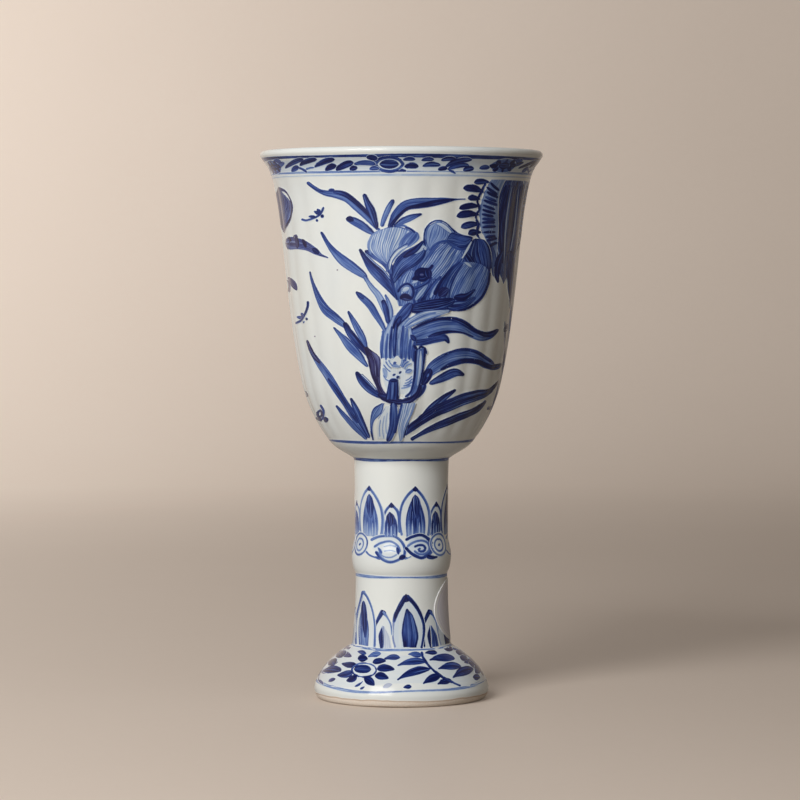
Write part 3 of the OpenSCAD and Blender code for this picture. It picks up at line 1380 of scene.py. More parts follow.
class Sheet:
    """Strokes laid one over another, as the photograph shows them."""

    first_lift = 0.03
    lift_step = 0.008
    grain = 1.6
    fewest_rows = 6
    most_rows = 420
    end_crowding = 0.45

    def __init__(self, skin: Skin, view: PhotoView, ground: float = 0.0) -> None:
        """Starts an empty sheet on a ground wash."""
        self.skin = skin
        self.view = view
        self.ground = ground
        self.patches: list[Patch] = []
        self.layers: dict[tuple[int, int], int] = {}
        self.washes: dict[tuple[int, int], float] = {}

    def lay(self, strokes: Iterable[Stroke], base: int = 0) -> "Sheet":
        """Lays strokes, each above those that it meets.

        Args:
            strokes: the strokes, in the order in which they are painted.
            base: the layer of a stroke that meets no other.
        Returns:
            The sheet.
        """
        for stroke in strokes:
            cells = stroke.cells()
            layer = max((self.layers[cell] + 1 for cell in cells if cell in self.layers), default=base)
            self.patches.append(self._net(stroke, self.first_lift + self.lift_step * layer))
            self.washes.update(cells)
            self.layers.update({cell: layer for cell in cells})
        return self

    def _net(self, stroke: Stroke, lift: float) -> Patch:
        """Spreads a net over one stroke."""
        length, width = stroke.extent
        rows = int(max(self.fewest_rows, min(self.most_rows, length / self.grain)))
        columns = 2 * max(1, round(width / self.grain / 2))
        spots, under = [], []
        for i in range(rows + 1):
            u = mix(i / rows, (1 - math.cos(math.pi * i / rows)) / 2, self.end_crowding)
            across = [2 * j / columns - 1 for j in range(columns + 1)]
            spots.append([stroke.where(self.skin, self.view, u, v) for v in across])
            under.append([self._wash(stroke, u, v) for v in across])
        return Patch(stroke, spots, under, lift)

    def _wash(self, stroke: Stroke, u: float, v: float) -> float:
        """The wash that already lies at a place along and across a stroke."""
        if isinstance(stroke, Hoop):
            return self.ground
        x, y = stroke.at(u, v)
        near = [(round(x) + i, round(y) + j) for i in (-1, 0, 1) for j in (-1, 0, 1)]
        found = [self.washes[cell] for cell in near if cell in self.washes]
        if not found:
            return self.ground
        return mix(self.ground, sum(found) / len(found), min(1.0, len(found) / 4))


class Painting:
    """Sheets of strokes on the cup's surface, as one piece."""

    bedding = 0.06
    offsets = (0, 400)
    strengths = (0.9, 1.06)
    numbers = ("tone", "outline", "hatch", "iron", "under", "along", "across", "edge")

    def __init__(self, name: str) -> None:
        """Starts an empty painting."""
        self.name = name
        self.hand = random.Random(name)
        self.bm = bmesh.new()
        self.count = 0

    def lay(self, sheet: Sheet, turns: Iterable[Turn] = (Turn(),)) -> None:
        """Lays a sheet at each of its places round the cup."""
        for turn in turns:
            for patch in sheet.patches:
                self._touch(sheet, patch, turn)

    def _touch(self, sheet: Sheet, patch: Patch, turn: Turn) -> None:
        """Lays one stroke.

        Args:
            sheet: the sheet that it belongs to.
            patch: its net of points.
            turn: its place round the cup.
        """
        stroke, spots = patch.stroke, patch.spots
        rows, columns = len(spots) - 1, len(spots[0]) - 1
        ends = [[sheet.skin.point(*row[j], 0.0) for j in (0, -1)] for row in spots]
        widths = [(b - a).length / MM for a, b in ends]
        reach = stroke.extent[0] * sheet.view.pixel_size()
        offset = self.hand.uniform(*self.offsets)
        tone = stroke.load.value * turn.strength * self.hand.uniform(*self.strengths)
        bm = bmesh.new()
        layers = {key: bm.verts.layers.float.new(key) for key in self.numbers}
        bed = bm.verts.layers.float_vector.new("bed")
        bmesh.ops.create_grid(bm, x_segments=rows, y_segments=columns, size=1.0)
        for vert in bm.verts:
            i = round((vert.co.x + 1) / 2 * rows)
            j = round((vert.co.y + 1) / 2 * columns)
            u, v = i / rows, 2 * j / columns - 1
            inset = (1 - abs(v)) * widths[i] / 2
            numbers = {
                "tone": tone * stroke.brush.weight(u, v),
                "under": patch.under[i][j],
                "along": u * reach + offset,
                "across": v * max(widths) / 2 + offset,
                "edge": min(inset, (1 - u) * reach) if stroke.tip_shows else inset,
            }
            angle, height = spots[i][j]
            vert.co = sheet.skin.point(turn.apply(angle), height, patch.lift)
            vert[bed] = sheet.skin.point(turn.apply(angle), height, -self.bedding) - vert.co
            for key, layer in layers.items():
                vert[layer] = numbers[key] if key in numbers else getattr(stroke.brush, key)
        self._join(bm, bed)
        LOG.debug("%s: %s", self.name, stroke.name)

    def _join(self, bm: bmesh.types.BMesh, bed: Any) -> None:
        """Gives a stroke a back that lies in the glaze and joins it to the rest.

        Args:
            bm: the stroke's face, which is freed.
            bed: the layer that says how far its back lies from each point.
        """
        bmesh.ops.remove_doubles(bm, verts=bm.verts, dist=0.001 * MM)
        back = bmesh.ops.extrude_face_region(bm, geom=bm.faces[:])["geom"]
        for vert in (part for part in back if isinstance(part, bmesh.types.BMVert)):
            vert.co += vert[bed]
        bm.verts.layers.float_vector.remove(bed)
        bmesh.ops.recalc_face_normals(bm, faces=bm.faces)
        mesh = bpy.data.meshes.new("stroke")
        bm.to_mesh(mesh)
        bm.free()
        self.bm.from_mesh(mesh)
        bpy.data.meshes.remove(mesh)
        self.count += 1

    def finish(self, material: bpy.types.Material) -> bpy.types.Object:
        """Makes the strokes a piece.

        Args:
            material: the cobalt's finish.
        Returns:
            The piece.
        """
        LOG.info("%s: %d strokes", self.name, self.count)
        return settle(self.bm, self.name, material, crease=50.0)


@dataclass(frozen=True)
class Easel:
    """What every part of the painting needs: the surface, the photograph's camera and the cobalt."""

    skin: Skin
    view: PhotoView
    cobalt: bpy.types.Material

    def sheet(self, strokes: Iterable[Stroke], base: int = 0, ground: float = 0.0) -> Sheet:
        """Strokes laid from a base layer up, over a ground wash."""
        return Sheet(self.skin, self.view, ground).lay(strokes, base)


@dataclass
class RimBorder:
    """The band of flowers and slanting leaves under the lip, between its painted lines."""

    under_lip: float = 173.0
    under_lip_width: float = 1.25
    double_line: tuple[float, float] = (168.3, 167.2)
    double_width: float = 0.9
    repeats: int = 3
    second_flower: float = 54.0
    flower_at: Point = (388.8, 164.0)
    petals: int = 8
    fullness: float = 1.06
    taper: float = 0.36
    ground: float = 0.12

    def lines(self) -> list[Stroke]:
        """The dark line under the lip and the pale pair below the band, with a faint wash between."""
        upper, lower = self.double_line
        return [
            Hoop("tint of the band", FAINT, FLAT, (self.under_lip + lower) / 2, self.under_lip - lower,
                0.0),
            Hoop("dark line under the lip", DEEP, PLAIN, self.under_lip, self.under_lip_width),
            Hoop("upper pale line", WASH, FLAT, upper, self.double_width, 0.06),
            Hoop("lower pale line", PALE, FLAT, lower, self.double_width, 0.06),
        ]

    def leaves(self) -> list[Stroke]:
        """The leaves of one repeat and the petals of its flower, as the front shows them."""
        touches = [
            ("left leaf 1", DEEP, (274, 160), (281, 164), 4.6),
            ("left leaf 2", DEEP, (276, 170), (285, 162.5), 4.6),
            ("left leaf 3", INK, (285, 168.6), (304, 159), 5.0),
            ("left leaf 4", DEEP, (291.5, 172), (299.6, 166.8), 5.2),
            ("left tendril 1", DEEP, (298.6, 167.7), (307.5, 173), 2.4),
            ("left leaf 5", INK, (299.6, 165.6), (317.4, 159.2), 5.2),
            ("left tendril 2", MID, (305.7, 169.5), (315, 167.6), 2.2),
            ("left leaf 6", INK, (314.6, 167.2), (335.2, 159.2), 5.8),
            ("left leaf 7", INK, (325, 170.8), (337, 165.5), 6.0),
            ("left leaf 8", INK, (336, 170.8), (354, 162.3), 7.0),
            ("left leaf 9", INK, (349.5, 170), (358, 167.7), 5.0),
            ("flower's left petal", DEEP, (354, 164), (376.4, 164.5), 5.2),
            ("flower's lower left petal", DEEP, (369, 169.5), (379.8, 168.6), 4.2),
            ("flower's upper left petal", INK, (366, 157), (378, 159.2), 5.4),
            ("flower's lower right petal", INK, (396, 171.4), (407, 171.2), 3.0),
            ("flower's upper right petal", INK, (402.6, 160), (415.6, 159.6), 4.2),
            ("flower's right petal", INK, (404, 166.8), (419, 166.8), 6.0),
            ("right leaf 1", INK, (421, 160.6), (434.4, 159.6), 4.2),
            ("right leaf 2", DEEP, (422, 166.4), (441, 165.4), 5.0),
            ("right leaf 3", INK, (440.7, 160.6), (456.4, 159.4), 4.6),
            ("right leaf 4", DEEP, (444.5, 167.4), (472.4, 159.6), 5.6),
            ("right leaf 5", INK, (437.6, 170.2), (447.6, 168.6), 4.4),
            ("right leaf 6", DEEP, (447.4, 169.8), (469.6, 165.4), 4.6),
            ("right tendril", DEEP, (448.4, 170.6), (456, 174), 2.4),
            ("right leaf 7", INK, (462.7, 171), (474.4, 168.6), 5.4),
            ("right leaf 8", DEEP, (479, 168.7), (490, 167.6), 5.0),
        ]
        return [dab(*touch, width * self.fullness, PLAIN, 0.08, 0.56,
            self.taper) for *touch, width in touches]

    def flower_in_painted_shade(self) -> list[Stroke]:
        """The full flower between ringed ones, its petals round a dark centre, darkened as painted shade."""
        x, y = self.flower_at
        made = [dab("wash of the dark flower", MID, (x - 20, y), (x + 20, y), 14.5, FLAT, 0.0, 0.5, 0.5)]
        for i in range(self.petals):
            turn = 2 * math.pi * i / self.petals
            across, up = math.cos(turn), math.sin(turn)
            start, end = (x + 9 * across, y + 3 * up), (x + 21 * across, y + 7 * up)
            made.append(dab("its petal", INK, start, end, 4.6))
        made.append(dab("its heart", INK, (x - 8, y), (x + 8, y), 7.0, PLAIN, 0.0, 0.5, 0.5))
        return made

    def flower(self) -> list[Stroke]:
        """The flower's petals in a dark wash, a bare ring and the dark centre."""
        x, y = self.flower_at
        return [
            dab("wash of the flower", DEEP, (x - 17, y), (x + 16, y), 16.5, FLAT, 0.0, 0.5, 0.5),
            dab("bare ring", FAINT, (x - 11.6, y + 0.2), (x + 12.6, y + 0.2), 11.6, FLAT, 0.0, 0.5, 0.5),
            dab("centre", INK, (x - 9.6, y), (x + 10.4, y), 9.8, PLAIN, 0.0, 0.5, 0.5),
            trail("flower's upper edge", DEEP, 2.4, (x - 13, y - 3), (x - 6, y - 6.4), (x + 5, y - 6.6),
                (x + 13, y - 3)),
            trail("flower's lower edge", DEEP, 2.6, (x - 8, y + 6), (x + 1, y + 7.4), (x + 10, y + 5.8)),
        ]

    def build(self, easel: Easel) -> bpy.types.Object:
        """Paints the band right round.

        Args:
            easel: its surface, camera and finish.
        Returns:
            The piece.
        """
        painting = Painting("painted_rim_border")
        for level, line in enumerate(self.lines()):
            painting.lay(easel.sheet([line], min(level, 1)))
        starts = [360 / self.repeats * i for i in range(self.repeats)]
        painting.lay(easel.sheet(self.leaves(), 2, self.ground), [Turn(start) for start in starts])
        painting.lay(easel.sheet(self.flower(), 4, self.ground), [Turn(start) for start in starts])
        # The flowers between the ringed ones are drawn darker, as painted shade.
        between = [Turn(start + self.second_flower) for start in starts]
        painting.lay(easel.sheet(self.flower_in_painted_shade(), 4, self.ground), between)
        return painting.finish(easel.cobalt)


class FloweringPlant:
    """The tall plant on the front: one broad blossom, a smaller one below it, and long leaves."""

    def top_leaves(self) -> list[Stroke]:
        """The leaves that rise above the blossom."""
        return [
            ribbon("long upper left leaf", MID, LEAF, (307.5, 182.4, 2.8), (312, 186, 3.2),
                (318, 190.4, 4), (325.4, 193, 6), (335, 194.5, 7.4), (347, 198, 9.4), (356, 205.6, 9.4),
                (364.6, 214, 8), (372.7, 223, 6), (378, 230, 3)),
            dab("its knob", DEEP, (328.4, 190.6), (334.6, 190), 3.6),
            ribbon("its dark tip", DEEP, PLAIN, (307, 182, 2.8), (312, 186, 3), (318, 190, 3),
                (324, 192, 1.6)),
            ribbon("its dark back", INK, PLAIN, (333, 191.6, 2.4), (340, 192.8, 4.4), (347, 195.6, 5),
                (356, 202.4, 4.8), (365, 211, 4), (373, 220, 2.4)),
            ribbon("second upper leaf", DEEP, LEAF, (363.8, 193.4, 4), (367.3, 202.5, 6.4),
                (371.8, 211.4, 8), (375, 222, 6), (376.7, 229, 3)),
            ribbon("third upper leaf", MID, LEAF, (393.7, 199.2, 4.4), (388.4, 208.6, 6.2),
                (384, 219, 5.6), (381.6, 227, 4)),
            ribbon("long upper right leaf", MID, BLADE, (388.6, 228.5, 4), (395.7, 215.6, 9),
                (405, 206, 10.5), (418.7, 203, 10.6), (433, 202, 9), (443.6, 200.6, 6.5),
                (456, 199.4, 2.4), (466, 199, 1.2)),
            ribbon("its dark belly", INK, PLAIN, (390, 227, 4), (397.6, 217, 3.2), (407, 208.6, 3.6),
                (418, 206, 4.8), (431, 203.6, 6), (442, 201.4, 5), (455, 199.4, 1.8)),
            ribbon("small upper left leaf", MID, LEAF, (345.4, 218.4, 3.6), (352, 220.4, 8),
                (360, 224.4, 8.8), (368, 230, 7), (375, 235, 3)),
            dab("its dark tip", INK, (345.6, 218.4), (354, 221), 6.2),
            ribbon("small upper right leaf", MID, BLADE, (394, 226.6, 2), (402.4, 221.4, 6.4),
                (411, 217.5, 6.8), (422.5, 213.7, 2)),
            trail("blade under the small right leaf", MID, 2.4, (396, 225.4), (404, 226), (410.6, 229),
                (416.6, 233.2)),
            trail("shoot between the leaves", MID, 1.8, (378.6, 228), (381, 233), (385, 236.4)),
        ]

    def left_leaves(self) -> list[Stroke]:
        """The long leaves that sweep down on the left."""
        return [
            ribbon("first left leaf", MID, LEAF, (320.6, 231.4, 2.6), (327, 242.7, 4.6), (334, 251.6, 7),
                (343, 260.5, 10), (353, 267.7, 10), (363, 274.8, 7), (367, 279, 3)),
            ribbon("its stalk", WASH, LEAF, (364, 275.5, 3), (371, 286.6, 5.4), (378, 295, 7),
                (383.6, 305.7, 8), (388, 317, 6.4), (389, 327, 3)),
            ribbon("second left leaf", MID, LEAF, (309.4, 271, 1.8), (311.5, 280, 3), (315.7, 290.7, 5),
                (320.6, 301.5, 7), (326.4, 310.6, 8.8), (334.7, 317.3, 9), (343, 324, 6.4), (348, 329, 3)),
            ribbon("its dark spine", DEEP, PLAIN, (310, 274, 1.6), (315, 290, 3.6), (320, 301, 4.6),
                (326, 308, 3), (334, 314, 1.6)),
            ribbon("inner left leaf", MID, LEAF, (347.6, 310.6, 2.2), (353, 320.6, 5.6), (358, 329.7, 7.4),
                (363, 338.8, 6.8), (367, 349, 3)),
            ribbon("second left leaf's stalk", DEEP, LEAF, (344, 322, 3.6), (349.7, 333, 7),
                (356, 341, 7.6), (363, 349, 6), (369, 357, 3)),
            ribbon("outer left leaf", MID, LEAF, (333, 327, 1.8), (341.4, 336, 5.4), (350.5, 347, 9),
                (358.8, 356, 8), (368, 367, 2.8)),
            ribbon("third left leaf", MID, LEAF, (307, 340.5, 1.8), (310.7, 349.6, 3), (315.7, 358.7, 4.8),
                (321.5, 367, 7.4), (328, 376, 7.8), (336, 389, 7.4), (343.6, 400.6, 6.8), (351, 412, 7.4),
                (359, 423.5, 7), (368, 438, 2.6)),
            ribbon("its dark tip", INK, Brush(iron=0.35), (306.8, 340, 1.8), (310.7, 349.6, 3.2),
                (315, 357.6, 3.4), (320, 363.6, 1.6)),
            ribbon("its dark spine", DEEP, PLAIN, (328, 378, 2), (335, 389, 4.6), (343, 401, 5),
                (350, 411.6, 4), (358, 423, 2.4)),
            ribbon("dark blade by the third leaf", DEEP, LEAF, (350.6, 397.6, 2.4), (356, 409, 5.4),
                (361, 421, 6.2), (369.6, 438, 3)),
            ribbon("pale blade by the third leaf", MID, LEAF, (336, 405, 2), (343.6, 415, 4.4),
                (353.5, 426, 5.4), (367, 439.4, 2.6)),
            ribbon("middle leaf", MID, LEAF, (355.6, 291.6, 2.2), (361, 296.5, 6.4), (369.6, 304.8, 7.6),
                (375.4, 314, 7.2), (382, 324.7, 5.4), (386, 333, 3)),
            dab("its dark tip", DEEP, (356, 292.4), (364, 299.6), 4.6),
            ribbon("middle pale blade", WASH, LEAF, (385, 294, 2), (389, 303, 4), (391, 313, 5),
                (389, 328, 3.4)),
            ribbon("middle dark blade", DEEP, LEAF, (382.6, 299.6, 4.4), (386, 309.8, 6.2),
                (388.6, 324, 4)),
            ribbon("dark left leaf", DEEP, LEAF, (359.4, 248.6, 2.6), (364.6, 257, 6),
                (372.7, 267.7, 11.4), (381.6, 276.6, 13), (391, 288, 9.6), (398, 299, 4)),
            trail("its bare edge", PALE, 1.5, (365, 253.6), (374, 262.6), (383, 270), (390, 279)),
            ribbon("leaf under the blossom", MID, LEAF, (364.6, 250.7, 2.2), (373.6, 254.3, 8.8),
                (381.6, 258.6, 10), (388, 266, 8), (394, 279, 3)),
            trail("its dark back", INK, 2.6, (372, 251.4), (381, 255), (388.6, 261.6), (393.4, 271),
                (396, 284)),
        ]

    def blossom(self) -> list[Stroke]:
        """The washes and petals of the broad blossom, from the back to the front."""
        lined = Brush(outline=0.2, hatch=1.0)
        return [
            petal("left pale petal", WASH, Brush(outline=0.3, hatch=1.7, first=0.35),
                ((388, 266), (376, 258), (368.6, 250.5), (368, 243.6), (371.4, 236)),
                ((390, 266), (398, 256), (406, 249), (413, 243), (417.4, 235.6)), (0, -9.5)),
            trail("left petal's outline", WASH, 1.5, (371, 254), (368.2, 247), (369, 241), (373, 234.4),
                (381, 230)),
            petal("shade on the left petal", MID, Brush(hatch=0.5, first=-0.25),
                ((398, 251), (399, 243), (404, 235.4), (409, 232)),
                ((410, 247), (417, 242), (420, 238), (419, 234.4)), (2, -1.5)),
            trail("its right edge", DEEP, 1.9, (404.6, 226.8), (410.6, 229.2), (415.4, 233)),
            petal("wash in the middle", MID, Brush(hatch=0.9),
                ((398, 306), (394, 290), (395, 272), (407, 254), (424, 240)),
                ((444, 308), (455, 290), (463, 272), (467, 256), (462, 240))),
            petal("wash on the right", DEEP, Brush(hatch=0.5),
                ((446, 308), (445, 290), (453, 272), (462, 256), (470, 240)),
                ((462, 310), (479, 302), (488, 285), (491, 266), (484, 241))),
            petal("lower left dark petal", DEEP, Brush(outline=0.2, hatch=0.6),
                ((391, 277), (394, 262), (402, 252.6), (414, 246), (423, 240.4)),
                ((394, 284), (406, 272), (419, 264), (426, 254), (425, 241))),
            ribbon("bare crescent", FAINT, FLAT, (389.4, 270, 1.4), (391.6, 260, 2.4), (398.6, 251, 2.4),
                (408, 245.4, 1.4)),
            trail("crescent's edge", DEEP, 1.4, (386.6, 272), (389, 261), (396, 250.4), (408, 243)),
            ribbon("pale touch by the hood", PALE, FLAT, (415, 254, 1.6), (420, 250, 4.4),
                (424.4, 246.6, 5), (425.6, 250.4, 3)),
            ribbon("dark seam of the lower left petal", INK, PLAIN, (403, 257.6, 2), (409, 253.6, 5),
                (416, 249.4, 5.4), (423.6, 241, 2.6)),
            petal("upper hooded petal", MID, Brush(outline=0.3, hatch=0.9, lean=-0.12),
                ((430, 252), (426, 244), (424.6, 234), (427.6, 226.4), (437.8, 220.6)),
                ((430, 252), (441, 244.4), (453, 241), (455, 231.6), (440, 220.8))),
            ribbon("bare band inside the hood", PALE, Brush(hatch=0.8), (436, 223.4, 1.6), (441, 224.6, 4),
                (446.6, 228.4, 4.4), (452, 233.4, 2)),
            trail("hood's outline", INK, 1.5, (425.6, 247), (424, 236), (426.4, 227.6), (432, 222),
                (438.6, 220.4), (446, 223), (454, 230.6), (462, 235), (472, 236.8)),
            petal("hood's right lobe", DEEP, Brush(outline=0.16, hatch=0.25),
                ((446, 240), (451, 232.4), (458, 234), (465, 235.8), (472.4, 237)),
                ((446, 240), (452.4, 247), (460.6, 249.4), (467, 247.6), (472.6, 238.6))),
            petal("middle pale petal", MID, Brush(outline=0.12, hatch=1.5),
                ((414, 282), (419, 268), (425, 259), (430, 251), (439, 243.6)),
                ((432, 288), (444, 279), (453, 268), (459.6, 258), (462.6, 250.6)), (2, -2.5)),
            trail("scalloped edge of the hood", DEEP, 1.9, (430, 250.6), (434, 245.6), (440, 242),
                (447, 241), (451.6, 245.4), (460, 249.4), (467, 247.6)),
            petal("right hanging petal", DEEP, Brush(outline=0.2, hatch=0.4, last=0.15),
                ((475, 238), (471, 244), (465.6, 256), (471, 265.4), (482, 275)),
                ((475, 238), (484.6, 240), (490.6, 250), (491.8, 266), (486, 276))),
            ribbon("shade inside the right petal", INK, PLAIN, (465, 252, 3), (468, 257.6, 7),
                (472.6, 264, 6), (479, 271, 3)),
            ribbon("bare slit between the petals", FAINT, FLAT, (471.6, 241, 1.4), (467.4, 248.6, 2.8),
                (461.4, 259, 1.8)),
            petal("lower right petal", MID, Brush(outline=0.2, hatch=1.0, first=0.25, lean=-0.1),
                ((446, 304), (443.6, 292), (447, 279), (454, 269), (462, 262)),
                ((462, 310.4), (476, 304), (485, 292), (489, 280), (489.6, 272)), (4, -4)),
            dab("its bare fold", PALE, (463.4, 262), (472, 267.6), 3.6, FLAT),
            ribbon("its dark left side", DEEP, Brush(hatch=0.7), (447, 302, 4), (446.6, 290, 8),
                (451, 278, 8), (458, 268, 5), (463, 262.4, 2)),
            trail("its edge", INK, 2.2, (489.8, 272), (487.6, 285), (480, 299), (468, 308), (456, 310),
                (447, 309)),
            ribbon("its dark patch", INK, PLAIN, (453.6, 297.4, 4), (461, 297.4, 8), (467, 295.6, 5.4),
                (476, 289, 2)),
            ribbon("its dark lower edge", DEEP, Brush(hatch=0.8), (447, 306, 5), (456, 305.6, 9),
                (466, 303.4, 6.4), (476, 297, 3)),
            petal("lower middle petal", DEEP, lined, ((413, 306), (414, 296), (419, 287), (426, 281)),
                ((437, 304), (441.6, 296), (443, 288), (441, 280)), (0, -2)),
            petal("lower left petal", MID, lined, ((397, 300), (396.6, 288), (400.4, 278), (407, 271)),
                ((413, 300), (417, 291), (419, 282), (418.6, 272)), (0, -2)),
            ribbon("first pale stripe", WASH, Brush(hatch=0.6), (415, 300.4, 3), (421, 292.6, 5.4),
                (428, 284, 2.4)),
            ribbon("second pale stripe", WASH, Brush(hatch=0.6), (430, 298, 3), (434.4, 289, 4),
                (439.6, 279.6, 2)),
            ribbon("first dark stripe", DEEP, PLAIN, (420.6, 301.6, 2.6), (427.6, 292.6, 3.4),
                (434, 284, 3.4), (441, 276, 2.2)),
            ribbon("dark diagonal seam", INK, Brush(outline=0.1, last=-0.25), (434, 295, 4.4),
                (439.4, 285.6, 5), (445.4, 276.4, 4), (452, 268.4, 3), (459.6, 261.6, 1.6)),
            dab("dark root of the petals", INK, (438.6, 296.6), (448.8, 288.6), 9.0, Brush(iron=0.12)),
            ribbon("dark lower lip", INK, Brush(outline=0.1, hatch=0.7, lean=0.1), (410, 308.6, 6),
                (420, 307, 10.4), (432, 305.4, 12), (444, 303.2, 10), (455, 300, 5)),
            trail("lower outline", INK, 1.8, (411, 311.6), (427, 312.2), (444, 309.4), (456, 310)),
            trail("blossom's left edge", DEEP, 2.4, (390, 273), (392.6, 283), (395, 292), (397.4, 300)),
            dab("pale wedge under the ring", PALE, (411.6, 283.6), (418.6, 280.4), 3.6, FLAT),
            trail("line from the ring to the loop", DEEP, 3.4, (431.4, 276), (427.6, 282), (420, 286.2),
                (412.8, 288.8)),
            dab("wash in the ring", DEEP, (415.6, 274.6), (430, 274.6), 9.0, Brush(iron=0.3)),
            Loop("ring at the heart", INK, PLAIN, (421.8, 274.6), (5.0, 4.4), 6.4),
            dab("full side of the ring", INK, (425.6, 267.6), (428.6, 279), 8.4),
            dab("its left tail", INK, (411.4, 279.6), (420, 277.6), 4.6),
            trail("its tail", INK, 3.2, (427.6, 270.6), (431, 267.4), (433, 264.4)),
            dab("pale patch in the loop", PALE, (402, 291.6), (410, 287.6), 5.4, FLAT),
            trail("loop beside the ring", INK, 2.6, (397.6, 292.6), (400.8, 287.2), (406.4, 283.8),
                (411, 285.6), (413.4, 291), (412.8, 296.4), (409.6, 299.6)),
            ribbon("dark heart under the loop", INK, Brush(iron=0.12), (399.4, 298.4, 3),
                (402.4, 297.2, 6.4), (405, 296.8, 8), (408.4, 297.8, 6.4), (411.8, 298.8, 3.6)),
        ]

    def trunk(self) -> list[Stroke]:
        """The upright strokes of the stem between the two blossoms."""
        made: list[Stroke] = [
            petal("faint wash of the small blossom", FAINT, Brush(hatch=1.4),
                ((388, 394), (382, 378), (382, 354)), ((410, 394), (415, 378), (415, 354))),
            petal("wash of the trunk", WASH, Brush(outline=0.1, hatch=1.1, first=0.2),
                ((382, 358), (381, 344), (385, 330), (393, 316)),
                ((414, 358), (415, 344), (412, 330), (408, 310))),
            ribbon("hanging sepal", DEEP, BLADE, (412, 303, 6), (405, 312, 11), (398.4, 320.4, 8.6),
                (393.6, 329, 4)),
            dab("its dark end", INK, (401, 315.6), (393.4, 327), 5.4),
            ribbon("pale hatched leaf", WASH, Brush(outline=0.16, hatch=1.6), (402, 329, 3),
                (412, 321.6, 9), (424, 316, 10), (437, 313, 7), (450, 310.4, 3)),
            trail("line along the pale leaf", MID, 1.5, (405, 327), (414, 320.6), (425, 315.4),
                (436, 312.6)),
        ]
        streaks = [
            (381.8, 330, 359, 3.6, MID), (386.4, 333, 361, 2.6, MID), (390.6, 326, 359, 3.2, DEEP),
            (395, 322, 357, 4.4, DEEP), (398.6, 329, 355, 1.8, PALE), (402, 325, 360, 4.6, DEEP),
            (406, 328, 362, 3.0, MID), (409.6, 338, 360, 3.4, DEEP), (413.4, 341, 362, 4.0, DEEP),
        ]
        for i, (x, top, bottom, width, load) in enumerate(streaks):
            middle = (top + bottom) / 2
            made.append(ribbon(f"streak of the trunk {i}", load, Brush(outline=0.1, hatch=0.3),
                (x + 1.4, top, width * 0.5), (x, middle, width), (x - 0.4, bottom, width * 0.6)))
        return [
            *made,
            dab("knot on the trunk", INK, (410, 334.6), (416, 341.4), 5.0),
            trail("hook beside the trunk", INK, 2.4, (413, 344.6), (417.6, 349.4), (421, 346.4),
                (424, 349)),
            dab("end of the hook", INK, (422.6, 346.6), (427, 354.4), 3.4),
        ]

